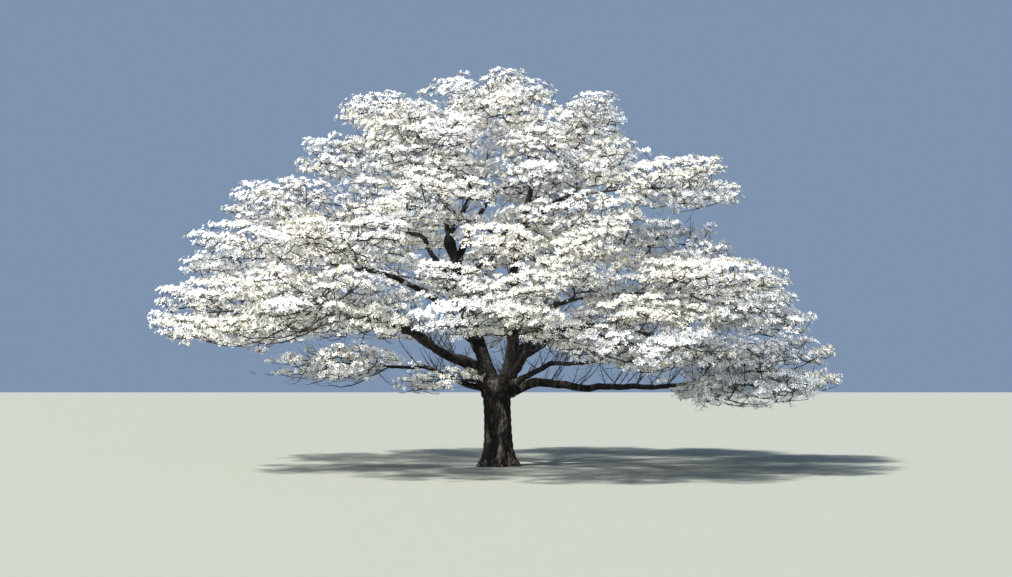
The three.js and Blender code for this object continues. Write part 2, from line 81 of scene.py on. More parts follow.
camera_data = bpy.data.cameras.new("camera")
camera_data.lens = FOCAL_MM
camera_data.sensor_width = SENSOR_MM
camera = bpy.data.objects.new("camera", camera_data)
camera.location = (TO_THE_RIGHT, -DISTANCE, EYE_HEIGHT)
camera.rotation_euler = (math.radians(90 + PITCH_DEG), 0, 0)
bpy.context.scene.collection.objects.link(camera)
bpy.context.scene.camera = camera
pixel_mm = 1000 * DISTANCE * SENSOR_MM / (FOCAL_MM * PHOTO_PIXELS)
print("one pixel at the trunk is", round(pixel_mm, 1), "mm")


# %% Helpers for colours, nodes and materials
def linear(hex_colour):
    """An sRGB hex value as the linear colour that Blender's sockets take."""
    channels = [int(hex_colour[i : i + 2], 16) / 255 for i in (1, 3, 5)]
    return (*[c / 12.92 if c < 0.04045 else ((c + 0.055) / 1.055) ** 2.4 for c in channels], 1.0)


def add_node(tree, kind, inputs=None, **settings):
    """Adds a node. Each input is a value, or the output socket of another node to link from."""
    node = tree.nodes.new(kind)
    for name, value in settings.items():
        setattr(node, name, value)
    for name, value in (inputs or {}).items():
        if isinstance(value, bpy.types.NodeSocket):
            tree.links.new(value, node.inputs[name])
        else:
            node.inputs[name].default_value = value
    return node


def new_material(name, roughness):
    """A new material, its node tree and its shader."""
    material = bpy.data.materials.new(name)
    material.use_nodes = True
    shader = material.node_tree.nodes["Principled BSDF"]
    shader.inputs["Roughness"].default_value = roughness
    return material, material.node_tree, shader


def plain_material(name, colour, roughness):
    material, _, shader = new_material(name, roughness)
    shader.inputs["Base Color"].default_value = linear(colour)
    return material


print("the middle grey #808080 reflects", round(linear("#808080")[0], 3), "of the light")

# %% A plain pale sky, shown as it is, without a film curve
world = bpy.data.worlds.new("pale_sky")
world.use_nodes = True
sky = world.node_tree.nodes["Background"]
sky.inputs["Color"].default_value = linear("#abc6ea")
sky.inputs["Strength"].default_value = 0.52
bpy.context.scene.world = world
bpy.context.scene.view_settings.view_transform = "Standard"
print("sky strength", round(sky.inputs["Strength"].default_value, 2))


# %% The sun, a weak wide fill from the front, and the floor
def add_sun(name, strength, softness_deg, colour, from_direction):
    data = bpy.data.lights.new(name, "SUN")
    data.energy = strength
    data.angle = math.radians(softness_deg)
    data.color = linear(colour)[:3]
    lamp = bpy.data.objects.new(name, data)
    x, y, z = from_direction
    lamp.rotation_euler = (math.acos(z / math.hypot(x, y, z)), 0, math.atan2(x, -y))
    bpy.context.scene.collection.objects.link(lamp)


add_sun("sun_high_left", 9.0, 4, "#fffaf2", (-0.52, -0.32, 0.79))
add_sun("fill_from_front", 0.3, 60, "#e9f0ff", (0.1, -0.85, 0.42))

FLOOR_HALF = 60.0
floor_mesh = bpy.data.meshes.new("floor")
corners = [(x * FLOOR_HALF, y * FLOOR_HALF, 0) for x, y in ((-1, -1), (1, -1), (1, 1), (-1, 1))]
floor_mesh.from_pydata(corners, [], [(0, 1, 2, 3)])
# Floor paint is matt, so it has one pale grey and next to no gloss
floor_mesh.materials.append(plain_material("studio_floor_matt_paint", "#878c84", 0.9))
floor = bpy.data.objects.new("floor", floor_mesh)
bpy.context.scene.collection.objects.link(floor)
floor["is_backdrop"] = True
print("lamps", len(bpy.data.lights), "floor", 2 * FLOOR_HALF, "m wide")

# %% [markdown]
# ## The rule that grows the limbs
#
# A dogwood builds its crown in tiers. Each bough leaves steeply, bends over and ends nearly level, and a
# forked tip carries flat layers of flowers. Drawn by hand that would take thousands of points. It is
# quicker and truer to give each tier its sizes and let a seeded rule do the rest: the same numbers and the
# same order of random draws as in the model's own source, so that every limb lies where its solid lies.
# Sizes here are in millimetres, as in that source, and are turned into metres when a mesh is made.

# %% Vectors, random numbers and curves
MM = 0.001
UP = np.array([0.0, 0.0, 1.0])


def vec(*xyz):
    return np.array(xyz, float)


def unit(v):
    return v / np.linalg.norm(v)


def compass(degrees):
    return vec(math.cos(math.radians(degrees)), math.sin(math.radians(degrees)), 0)


def seeded(seed):
    """Numbers from 0 to 1 that come out the same on every run."""
    state = [seed]

    def draw():
        state[0] = (state[0] * 1664525 + 1013904223) % 4294967296
        return state[0] / 4294967296

    return draw


def bezier(controls, t):
    """Points on a cubic curve. t is a number or an array."""
    a, b, c, d = controls
    t = np.asarray(t, float)[..., None]
    s = 1 - t
    return a * s**3 + 3 * b * s * s * t + 3 * c * s * t * t + d * t**3


print("a quarter turn from +X is", compass(90).round(3))

# %% The trunk: taper, lean, root flare and the swell under the fork
TRUNK_HEIGHT = 1300
TRUNK_RADIUS = 212
TRUNK_TAPER = 0.07
# How far its top leans to the left, and what share of that it leans back
TRUNK_LEAN = 25
LEAN_BACK = 0.4
ROOT_FLARE = 105
FLARE_HEIGHT = 150
ROOT_LOBES = 5
LOBE_DEPTH = 62
LOBE_TURN = 1.1
FLUTES = 3
FLUTE_DEPTH = 13
FLUTE_TURN = 0.6
FLUTE_TWIST = 1.4
FORK_SWELL = 34
FORK_START = 0.62


def trunk_middle(height):
    share = height / TRUNK_HEIGHT
    return vec(-TRUNK_LEAN * share * share, LEAN_BACK * TRUNK_LEAN * share, height)


def trunk_radius(height, turn):
    share = height / TRUNK_HEIGHT
    flare = np.exp(-height / FLARE_HEIGHT)
    lobes = LOBE_DEPTH * flare * np.cos(ROOT_LOBES * turn + LOBE_TURN)
    flutes = FLUTE_DEPTH * np.cos(FLUTES * turn + FLUTE_TURN + FLUTE_TWIST * share)
    swell = FORK_SWELL * np.maximum(0, (share - FORK_START) / (1 - FORK_START)) ** 2
    return TRUNK_RADIUS * (1 - TRUNK_TAPER * share) + ROOT_FLARE * flare + lobes + flutes + swell


print("trunk radius in mm at the ground and half way up",
      [round(trunk_radius(height, 0)) for height in (0, TRUNK_HEIGHT / 2)])

# %% A limb: a curve with a gentle crookedness, as the solids have it and sampled more finely
LIMB_HANDLE = 0.36
LIMB_TAPER = 0.8
WAVE_SIDEWAYS = 5.2
WAVE_UPWARDS = 7.5
WAVE_FLATTENING = 0.6
FINER = 5


def make_limb(name, root, leave, tip, arrive, radius, tip_radius, sway, steps, seed):
    handle = LIMB_HANDLE * np.linalg.norm(tip - root)
    controls = (root, root + handle * unit(leave), tip - handle * unit(arrive), tip)
    sideways = unit(np.cross(tip - root, UP))
    random = seeded(seed)
    phases = [random() * 2 * math.pi, random() * 2 * math.pi]

    def at(t):
        size = (sway * np.sin(math.pi * t))[:, None]
        aside = size * np.sin(WAVE_SIDEWAYS * t + phases[0])[:, None] * sideways
        upward = WAVE_FLATTENING * size * np.sin(WAVE_UPWARDS * t + phases[1])[:, None] * UP
        return bezier(controls, t) + aside + upward

    coarse, fine = (np.linspace(0, 1, n * steps + 1) for n in (1, FINER))
    width = [radius + (tip_radius - radius) * t**LIMB_TAPER for t in (coarse, fine)]
    return {"name": name, "points": at(coarse), "radii": width[0], "path": at(fine), "widths": width[1],
            "tip": tip, "arrive": unit(arrive)}


LEADERS = [
    ("leader_left", (-84, 10, 1110), (-0.25, 0.05, 1), (-930, 90, 4700), (-0.1, 0, 1)),
    ("leader_right", (88, 0, 1110), (0.22, 0.08, 1), (520, 300, 4350), (0.25, 0, 1)),
]
LEADER_RADIUS = 126
LEADER_TIP_RADIUS = 46
LEADER_SWAY = 110
LEADER_STEPS = 8
leaders = [
    make_limb(name, vec(*root), vec(*leave), vec(*tip), vec(*arrive), LEADER_RADIUS, LEADER_TIP_RADIUS,
              LEADER_SWAY, LEADER_STEPS, 11 + i)
    for i, (name, root, leave, tip, arrive) in enumerate(LEADERS)
]
print("leaders", [leader["name"] for leader in leaders])


def point_at_height(points, height):
    above = max(1, int(np.argmax(points[:, 2] > height)))
    low, high = points[above - 1], points[above]
    return low + (high - low) * (height - low[2]) / (high[2] - low[2])


# %% The sizes of the tiers of boughs, and of the layers of blossom that each bough carries
# left, right and depth: how far the tier reaches to -X, to +X and to the front and back
# left_height, right_height: the middle of its blossom on those sides; lift: what the front and back add
# half: half length outwards, half width and half thickness of a layer; tilt: its droop
# root_height, root_step: where its first bough leaves the stem, and how much higher each next one does
# rise: how steeply a bough leaves; drop: how far its tip lies under the blossom's middle
TIERS = [
    dict(name="skirt", boughs=5, turn=0, left=5500, right=5360, depth=4680,
         left_height=2400, right_height=1500, lift=560, half=(1460, 1340, 680), tilt=-0.16,
         root_height=1090, root_step=0, rise=0.42, radius=86, tip_radius=38, drop=250),
    dict(name="lower", boughs=4, turn=33, left=4960, right=5220, depth=4200,
         left_height=3270, right_height=2480, lift=260, half=(1420, 1340, 640), tilt=-0.16,
         root_height=1620, root_step=170, rise=0.62, radius=76, tip_radius=36, drop=330),
    dict(name="middle", boughs=3, turn=30, left=4330, right=3770, depth=3560,
         left_height=4060, right_height=3560, lift=0, half=(1380, 1300, 600), tilt=-0.16,
         root_height=2300, root_step=190, rise=0.8, radius=66, tip_radius=34, drop=330),
    dict(name="upper", boughs=3, turn=90, left=3180, right=3830, depth=2760,
         left_height=4840, right_height=4400, lift=90, half=(1320, 1200, 560), tilt=-0.14,
         root_height=3120, root_step=160, rise=0.9, radius=54, tip_radius=32, drop=330),
]
# Each layer at the top: its name, its leader, its place beside that leader's tip, its middle, its half
# sizes and its heading
CROWN_TOP = [
    ("top_1", 0, 0, (-430, 20, 5820), (1180, 1060, 420), 15),
    ("top_2", 0, 2, (-1370, -330, 5310), (1180, 1060, 430), 200),
    ("top_3", 0, -2, (-820, 980, 5440), (1080, 1000, 450), 118),
    ("top_4", 1, -2, (-100, -1040, 5420), (1100, 1000, 450), 278),
    ("top_5", 1, 0, (1010, -120, 5360), (1080, 1000, 480), -4),
    ("top_6", 1, 2, (400, 960, 5360), (1080, 1000, 440), 62),
]
TOP_TILT = 0.05
LOW_BOUGHS = [
    dict(name="low", heading=222, root_height=1060, rise=0.5, radius=50, tip_radius=26, span=560,
         tip_height=1330, sway=20, steps=4, reach=1980, height=1410, half=(820, 580, 250), seed=77),
    dict(name="low_left", heading=203, root_height=1120, rise=0.34, radius=52, tip_radius=28, span=1650,
         tip_height=1540, sway=40, steps=5, reach=3700, height=1640, half=(1120, 880, 330), seed=78),
    dict(name="low_right", heading=322, root_height=1170, rise=0.5, radius=60, tip_radius=30, span=1700,
         tip_height=1610, sway=50, steps=5, reach=3200, height=1830, half=(1000, 760, 300), seed=79),
]
print("boughs", sum(tier["boughs"] for tier in TIERS) + len(LOW_BOUGHS))


# %% Grow the boughs, and lay out their layers of blossom
SKIRT_LEFT_RAISE = 330
# The share of a heading to one side from which a bough belongs to that side
SIDE_SHARE = 0.1
# How far a bough's tip lies inside the crown's edge, in half lengths of its blossom, and how it rises there
TIP_FROM_EDGE = 1.8
TIP_RISE = 0.12
BOUGH_SWAY = 75
BOUGH_STEPS = 6


def tier_reach(tier, heading):
    way = compass(heading)
    side = tier["left"] if way[0] < 0 else tier["right"]
    return side * way[0] ** 2 + tier["depth"] * way[1] ** 2


def tier_height(tier, heading):
    way = compass(heading)
    middle = (tier["left_height"] + tier["right_height"]) / 2
    return middle + way[0] * (tier["right_height"] - tier["left_height"]) / 2 + tier["lift"] * way[1] ** 2


boughs, layers = [], []


def add_layer(name, limb, slot, centre, half, heading, tilt):
    out = unit(compass(heading) + tilt * UP)
    side = unit(np.cross(UP, out))
    layers.append({"name": f"blossom_{name}", "limb": limb, "slot": slot, "centre": centre,
                   "half": np.array(half, float), "axes": np.array([out, side, np.cross(out, side)]),
                   "seed": 100 + len(layers)})


def tier_bough(tier, i, heading):
    way = compass(heading)
    is_skirt = tier is TIERS[0]
    raised = SKIRT_LEFT_RAISE if is_skirt and way[0] < -SIDE_SHARE else 0
    root_height = tier["root_height"] + tier["root_step"] * i + raised
    leader = leaders[1 if way[0] > SIDE_SHARE else 0]
    from_trunk = is_skirt and not raised
    root = trunk_middle(root_height) if from_trunk else point_at_height(leader["points"], root_height)
    tip = way * (tier_reach(tier, heading) - TIP_FROM_EDGE * tier["half"][0])
    tip[2] = tier_height(tier, heading) - tier["drop"]
    return make_limb(f"bough_{tier['name']}_{i + 1}", root, way + tier["rise"] * UP, tip, way + TIP_RISE * UP,
                     tier["radius"], tier["tip_radius"], BOUGH_SWAY, BOUGH_STEPS, 31 + len(boughs))


for tier in TIERS:
    apart = 360 / (2 * tier["boughs"])
    for i in range(tier["boughs"]):
        heading = tier["turn"] + 2 * apart * i
        boughs.append(tier_bough(tier, i, heading))
        for slot in (-1, 1):
            toward = heading + slot * apart / 2
            centre = compass(toward) * (tier_reach(tier, toward) - tier["half"][0])
            centre[2] = tier_height(tier, toward)
            name = f"{tier['name']}_{2 * i + (2 if slot > 0 else 1)}"
            add_layer(name, boughs[-1], slot, centre, tier["half"], toward, tier["tilt"])
for name, leader, slot, centre, half, heading in CROWN_TOP:
    add_layer(name, leaders[leader], slot, vec(*centre), half, heading, TOP_TILT)

for low in LOW_BOUGHS:
    way = compass(low["heading"])
    boughs.append(make_limb(
        f"bough_{low['name']}", trunk_middle(low["root_height"]), way + low["rise"] * UP,
        way * low["span"] + UP * low["tip_height"], way, low["radius"], low["tip_radius"], low["sway"],
        low["steps"], low["seed"],
    ))
    centre = way * (low["reach"] - low["half"][0]) + UP * low["height"]
    add_layer(low["name"], boughs[-1], 0, centre, low["half"], low["heading"], 0)
limbs = leaders + boughs
print("limbs", len(limbs), "layers of blossom", len(layers))

# %% [markdown]
# ## The stem, twigs and sprays of each layer
#
# A layer keeps to its own space: the inside of a flat rounded box, and only where it is nearer to its own
# middle than to any other layer's. One stem runs through it from the limb's tip, twigs leave the stem in
# opposite pairs, as a dogwood's do, and each twig carries a spray or two. All layers are tested at once as
# arrays, which keeps thousands of tests to a few seconds.

# %% Which layer owns a point
SPACE_MARGIN = 0.03
# How boxy a layer's space is. 2 would be an ellipsoid
FULLNESS = 2.8
layer_centres = np.array([layer["centre"] for layer in layers])
layer_axes = np.array([layer["axes"] for layer in layers])
layer_halves = np.array([layer["half"] for layer in layers])


def shares_out(points):
    """How far each point lies from each layer's middle, in shares of that layer's half sizes."""
    away = points[:, None, :] - layer_centres
    shares = np.abs(np.einsum("plc,lac->pla", away, layer_axes) / layer_halves)
    return (shares**FULLNESS).sum(axis=2) ** (1 / FULLNESS)


def owned(index, points, margin=SPACE_MARGIN):
    shares = shares_out(np.atleast_2d(points))
    own = shares[:, index].copy()
    shares[:, index] = np.inf
    return (own < 1) & (shares.min(axis=1) > own + margin)


print("layers that own their own middle", sum(owned(i, each["centre"])[0] for i, each in enumerate(layers)))

# %% The stem of each layer, and a trace of all wood that blossom and twigs stay clear of
CLEARANCE = 0.3
LIMB_SPACE = 12
TRACE_STEP = 30
STEM_STEPS = 4
STEM_RADIUS = 19
STEM_TIP_RADIUS = 8
STEM_REACH = 0.62
STEM_HANDLES = (0.3, 0.4)


def stem_radius(t):
    return STEM_RADIUS + (STEM_TIP_RADIUS - STEM_RADIUS) * t


for layer in layers:
    arrive, out = layer["limb"]["arrive"], layer["axes"][0]
    beside = unit(np.cross(UP, arrive))
    root = layer["limb"]["tip"] + arrive * CLEARANCE + beside * layer["slot"] * (STEM_RADIUS + CLEARANCE)
    end = layer["centre"] + out * STEM_REACH * layer["half"][0]
    span = np.linalg.norm(end - root)
    handles = root + arrive * STEM_HANDLES[0] * span, end - out * STEM_HANDLES[1] * span
    layer.update(end=end, span=span, stem=(root, *handles, end))


def trace_of(points, radii, owner):
    """Points close together on a limb or stem, with the room that twigs and blossom leave it there."""
    rows = []
    for a, b, radius in zip(points[:-1], points[1:], radii[:-1]):
        parts = math.ceil(np.linalg.norm(b - a) / TRACE_STEP)
        for k in range(parts + 1):
            rows.append((*(a + (b - a) * k / parts), radius + LIMB_SPACE, owner))
    return rows


trace = [row for limb in limbs for row in trace_of(limb["points"], limb["radii"], -1)]
stem_t = np.linspace(0, 1, STEM_STEPS + 1)
for index, layer in enumerate(layers):
    trace += trace_of(bezier(layer["stem"], stem_t), stem_radius(stem_t), index)
trace = np.array(trace)
print("points on limbs and stems", len(trace))

# %% Sprays, and how one is fitted on a twig
SPRAY_LENGTH = 1080
SPRAY_WIDTH = 0.86
SPRAY_THICKNESS = 0.55
SPRAY_SHARES = (1, 0.85, 0.7, 0.55, 0.45)
SPRAY_LEVEL = 0.35
SPRAY_ROLL = 0.12
SPRAY_ASIDE = 0.32
SPRAY_ABOVE = 0.28
# How far its twig runs into it at least, and the step in which it slides along the twig to find its place
TWIG_IN_SPRAY = 0.3
SLIDE = 0.2
# How much further than its faces a spray's corners move when it is widened
CORNER_FACTOR = 1.8
SIGNS = np.array([[1, 1, 1], [1, 1, -1], [1, -1, 1], [1, -1, -1]])
TEST_SHARES = np.array([
    [(p if k == a else q if k == b else 0) / max(1, abs(p) + abs(q)) for k in range(3)]
    for a, b in ((0, 1), (1, 2), (0, 2)) for p in (-1, 0, 1) for q in (-1, 0, 1)
])


def spray_at(on, along, length, hand, roll):
    axis = unit(vec(along[0], along[1], SPRAY_LEVEL * along[2]))
    across = np.cross(UP, axis)
    across[2] = roll
    over = unit(np.cross(axis, unit(across)))
    across = np.cross(over, axis)
    half = np.array([length / 2, length * SPRAY_WIDTH / 2, length * SPRAY_THICKNESS / 2])
    centre = on + across * SPRAY_ASIDE * hand * half[1] + over * SPRAY_ABOVE * half[2]
    return {"centre": centre, "axes": np.array([axis, across, over]), "half": half}


def sprays_meet(a, b):
    normals = np.vstack([(SIGNS / s["half"]) @ s["axes"] for s in (a, b)])
    reach = sum((np.abs(s["axes"] @ normals.T) * s["half"][:, None]).max(axis=0) for s in (a, b))
    return bool((np.abs(normals @ (a["centre"] - b["centre"])) < reach).all())


def spray_touches(others, spray):
    away = np.abs((others[:, :3] - spray["centre"]) @ spray["axes"].T)
    return bool(((away / (spray["half"] + CORNER_FACTOR * others[:, 3:4])).sum(axis=1) < 1).any())


def fit_spray(index, others, sprays, start, way, run, hand, roll):
    for share in SPRAY_SHARES:
        length = SPRAY_LENGTH * share
        middle = run - 0.5 * length
        while middle > TWIG_IN_SPRAY * length:
            spray = spray_at(start + way * middle, way, length, hand, roll)
            spots = spray["centre"] + (TEST_SHARES * spray["half"]) @ spray["axes"]
            if (not any(sprays_meet(spray, other) for other in sprays) and owned(index, spots).all()
                    and not spray_touches(others, spray)):
                sprays.append(spray)
                return middle
            middle -= SLIDE * SPRAY_LENGTH
    return 0


print("points that test a spray", len(TEST_SHARES))

# %% Twigs in opposite pairs along the stem
TWIG_PAIRS = 6
TWIG_TO_STEM = 0.42
TWIG_ANGLE = 52
TWIG_SPREAD = 9
TWIG_CLIMB = (0.42, -0.34)
TWIG_CLIMB_SPREAD = 0.06
TIP_ROOM = 160
EDGE_STEP = 20
EDGE_STEPS = 200
TWIG_MARGIN = 0.04
# The first twigs stand at one of these shares of the stem's way, the last pair before the other
ENTRY_STEP = 0.05
LAST_ENTRY = 0.45
LAST_TWIGS = 0.97
PAIR_OFFSET = 0.25
TANGENT_STEP = 1e-4
# How far before a twig's first spray its second one ends
SECOND_SPRAY = 0.3
# The spray at a stem's end is tried from this share of the stem on, over the rest of it and beyond
END_SPRAY_FROM = 0.8
END_SPRAY_RUN = 0.2


def run_to_edge(index, start, way):
    steps = np.arange(1, EDGE_STEPS) * EDGE_STEP
    inside = owned(index, start + steps[:, None] * way, TWIG_MARGIN)
    return int(np.argmin(inside)) * EDGE_STEP


def grow_layer(index):
    layer = layers[index]
    random = seeded(layer["seed"])
    others = trace[trace[:, 4] != index]
    near_tip = np.linalg.norm(others[:, :3] - layer["limb"]["tip"], axis=1) <= TIP_ROOM
    off_tip = others[~near_tip]
    twigs, sprays = [], []
    entry = ENTRY_STEP
    while entry < LAST_ENTRY and not owned(index, bezier(layer["stem"], entry), 2 * SPACE_MARGIN)[0]:
        entry += ENTRY_STEP
    for pair in range(TWIG_PAIRS):
        t = entry + (LAST_TWIGS - entry) * (pair + PAIR_OFFSET) / TWIG_PAIRS
        node = bezier(layer["stem"], t)
        flat = bezier(layer["stem"], t + TANGENT_STEP) - bezier(layer["stem"], t - TANGENT_STEP)
        flat = unit(flat * (1, 1, 0))
        for hand in (-1, 1):
            angle = math.radians(TWIG_ANGLE + TWIG_SPREAD * (2 * random() - 1)) * hand
            climb = TWIG_CLIMB[(pair + (hand > 0)) % 2] + TWIG_CLIMB_SPREAD * (2 * random() - 1)
            rolls = [SPRAY_ROLL * (2 * random() - 1), SPRAY_ROLL * (2 * random() - 1)]
            cos, sin = math.cos(angle), math.sin(angle)
            way = unit(vec(flat[0] * cos - flat[1] * sin, flat[0] * sin + flat[1] * cos, climb))
            run = run_to_edge(index, node, way) if owned(index, node)[0] else 0
            checked = node + way * run * np.linspace(0, 1, 5)[:, None]
            gaps = np.linalg.norm(checked[:, None] - off_tip[:, :3], axis=2) - off_tip[:, 3]
            if (gaps < STEM_RADIUS).any():
                continue
            reach = fit_spray(index, others, sprays, node, way, run, hand, rolls[0])
            if not reach:
                continue
            twigs.append({"start": node, "end": node + way * reach, "radius": TWIG_TO_STEM * stem_radius(t)})
            fit_spray(index, others, sprays, node, way, reach - SECOND_SPRAY * SPRAY_LENGTH, -hand, rolls[1])
    run = run_to_edge(index, layer["end"], layer["axes"][0]) if owned(index, layer["end"])[0] else 0
    fit_spray(index, others, sprays, bezier(layer["stem"], END_SPRAY_FROM), layer["axes"][0],
              run + END_SPRAY_RUN * layer["span"], 1, SPRAY_ROLL * random())
    layer.update(twigs=twigs, sprays=sprays)


for index in range(len(layers)):
    grow_layer(index)
print("twigs", sum(len(layer["twigs"]) for layer in layers),
      "sprays", sum(len(layer["sprays"]) for layer in layers))

# %% [markdown]
# ## Bark: one skin over the trunk, the leaders and the boughs
#
# An old dogwood's bark is nearly black and broken into small square blocks, and on the trunk into upright
# ridges. Where a bough leaves, the wood swells into a collar, and no seam shows. Separate tubes would show
# a hard line there. So every limb is first a closed tube that starts inside its parent, then a voxel
# remesh melts all the tubes into one skin, a little smoothing rounds the forks, and the ridges of the
# trunk are pushed out of the finished skin, where their size is sure.

# %% A tube of rings along a row of points
# A way that no limb runs, from which the first ring is turned
FIRST_ACROSS = (0.31, 0.95, 0.02)


def rings_of(points, radii, sides):
    """The rings of a tube, each square to the way that it runs, with no twist between them."""
    along = np.gradient(points, axis=0)
    along /= np.linalg.norm(along, axis=1)[:, None]
    across = [unit(np.cross(along[0], FIRST_ACROSS))]
    for way in along[1:]:
        across.append(unit(across[-1] - way * (across[-1] @ way)))
    across = np.array(across)
    over = np.cross(along, across)
    turn = np.linspace(0, 2 * math.pi, sides, endpoint=False)[None, :, None]
    ring = across[:, None] * np.cos(turn) + over[:, None] * np.sin(turn)
    return points[:, None] + ring * np.asarray(radii)[:, None, None]


def closed_skin(rings):
    """Vertices and faces that join rings of equal length and close both ends."""
    count, sides = rings.shape[:2]
    faces = []
    for i in range(count - 1):
        for j in range(sides):
            k = (j + 1) % sides
            faces.append((i * sides + j, i * sides + k, (i + 1) * sides + k, (i + 1) * sides + j))
    faces.append(tuple(reversed(range(sides))))
    faces.append(tuple(range((count - 1) * sides, count * sides)))
    return rings.reshape(-1, 3), faces


print("corners of a tube with 3 rings of 4", len(closed_skin(np.zeros((3, 4, 3)))[0]))

# %% The trunk's tube, closed at the top by a low dome, so that the fork has no flat shelf
TRUNK_RINGS = 40
TRUNK_SIDES = 64
RING_CROWDING = 1.3
# Each ring of the dome: its height over the last one, and its share of that one's size
DOME = ((35, 0.86), (60, 0.6), (72, 0.3))


def trunk_rings():
    heights = TRUNK_HEIGHT * np.linspace(0, 1, TRUNK_RINGS) ** RING_CROWDING
    turn = np.linspace(0, 2 * math.pi, TRUNK_SIDES, endpoint=False)
    rows = []
    for height in heights:
        radius = trunk_radius(height, turn)
        middle = trunk_middle(height)
        rows.append(np.column_stack([middle[0] + radius * np.cos(turn), middle[1] + radius * np.sin(turn),
                                     np.full(TRUNK_SIDES, height)]))
    for rise, share in DOME:
        rows.append((rows[TRUNK_RINGS - 1] - middle) * share + middle + (0, 0, rise))
    return np.array(rows)


tubes = [closed_skin(trunk_rings())]
print("corners of the trunk's tube", len(tubes[0][0]))

# %% The limbs' tubes: crooked, with a collar where each one leaves, and the thick ends of the stems
COLLAR_SWELL = 0.42
COLLAR_LENGTH = 190
# The kinks of a limb as waves along it: how far each goes off the line, and its length over 2 pi
KINKS = [(18, 190), (11, 85), (6, 41)]
LIMB_SIDES = 16
STEM_BASE_RADIUS = 33
STEM_BASE_SHARE = 0.28
STEM_BASE_BACK = 40
STEM_BASE_RINGS = 6
STEM_BASE_SIDES = 8


def along_path(points):
    return np.concatenate([[0], np.cumsum(np.linalg.norm(np.diff(points, axis=0), axis=1))])


def crooked(path, random):
    """A limb's line with the kinks that lost side twigs leave in it, fading out at both ends."""
    far = along_path(path)
    fade = np.sqrt(np.sin(math.pi * far / far[-1]).clip(0, 1))
    phases = random.random((2, len(KINKS))) * 2 * math.pi
    aside, upward = (
        fade * sum(size * np.sin(far / wave + phase) for (size, wave), phase in zip(KINKS, row))
        for row in phases
    )
    side = unit(np.cross(path[-1] - path[0], UP))
    return path + side * aside[:, None] + UP * upward[:, None]


for number, limb in enumerate(limbs):
    limb["path"] = crooked(limb["path"], np.random.default_rng(40 + number))
    swell = 1 + COLLAR_SWELL * np.exp(-((along_path(limb["path"]) / COLLAR_LENGTH) ** 2) / 4)
    tubes.append(closed_skin(rings_of(limb["path"], limb["widths"] * swell, LIMB_SIDES)))
for layer in layers:
    t = np.linspace(0, STEM_BASE_SHARE, STEM_BASE_RINGS)
    back = layer["limb"]["arrive"] * STEM_BASE_BACK * (1 - t / STEM_BASE_SHARE)[:, None]
    radii = np.linspace(STEM_BASE_RADIUS, stem_radius(STEM_BASE_SHARE), STEM_BASE_RINGS)
    tubes.append(closed_skin(rings_of(bezier(layer["stem"], t) - back, radii, STEM_BASE_SIDES)))

skin_points, skin_faces, used = [], [], 0
for points, faces in tubes:
    skin_points.append(points)
    skin_faces += [tuple(i + used for i in face) for face in faces]
    used += len(points)
bark_mesh = bpy.data.meshes.new("bark")
bark_mesh.from_pydata(np.concatenate(skin_points) * MM, [], skin_faces)
bark = bpy.data.objects.new("bark", bark_mesh)
bpy.context.scene.collection.objects.link(bark)
print("tubes", len(tubes))

# %% Melt the tubes together, smooth the forks and take the result as a plain mesh
VOXEL = 0.0175


def take_result(obj):
    """Applies an object's modifiers, so that it has a plain mesh and no modifier."""
    evaluated = obj.evaluated_get(bpy.context.evaluated_depsgraph_get())
    made = bpy.data.meshes.new_from_object(evaluated)
    made.name = obj.name
    obj.modifiers.clear()
    old = obj.data
    obj.data = made
    bpy.data.meshes.remove(old)


def triangle_count(mesh):
    return sum(len(polygon.vertices) - 2 for polygon in mesh.polygons)


remesh = bark.modifiers.new("melt", "REMESH")
remesh.mode = "VOXEL"
remesh.voxel_size = VOXEL
smooth = bark.modifiers.new("round_forks", "SMOOTH")
smooth.factor = 0.5
smooth.iterations = 3
take_result(bark)
print("bark triangles", triangle_count(bark.data))

# %% Ridges on the trunk, knots on the limbs and a flat cut at the ground, all in metres
RIDGES = 19
RIDGE_DEPTH = 0.011
# The power that rounds a ridge, and what lies between its foot and the bark's old face
RIDGE_ROUNDING = 0.7
RIDGE_FOOT = 0.55
# The ridges weave from side to side in two waves: how far, over what height, and how many times round
WEAVES = ((0.9, 0.21, 2), (0.5, 0.075, 5))
# Each ridge is notched into blocks: how deep, in shares of the ridge, and over what height
BLOCK_DEPTH = 0.35
BLOCK_HEIGHT = 0.021
KNOT_DEPTH = 0.006
# Ridges fade into knots at this distance from the trunk's middle and at this height
RIDGES_REACH, REACH_FADE = 0.42, 0.1
RIDGES_TOP, TOP_FADE = 1.5, 0.35
GROUND_FADE = 0.03
FLAT_CUT = 0.006


def read_vectors(rows, field):
    """The vectors of a mesh's vertices or of its normals as an array."""
    values = np.empty(len(rows) * 3, np.float32)
    rows.foreach_get(field, values)
    return values.reshape(-1, 3).astype(float)


points = read_vectors(bark.data.vertices, "co")
normals = read_vectors(bark.data.vertex_normals, "vector")
x, y, z = points.T
turn = np.arctan2(y, x)
weave = RIDGES / 2 * turn
for size, height, times in WEAVES:
    weave = weave + size * np.sin(z / height + times * turn)
ridges = np.abs(np.sin(weave)) ** RIDGE_ROUNDING - RIDGE_FOOT
blocks = BLOCK_DEPTH * np.sin(z / BLOCK_HEIGHT + 3 * np.sin(3 * turn))
near_trunk = (np.clip((RIDGES_REACH - np.hypot(x, y)) / REACH_FADE, 0, 1)
              * np.clip((RIDGES_TOP - z) / TOP_FADE, 0, 1))
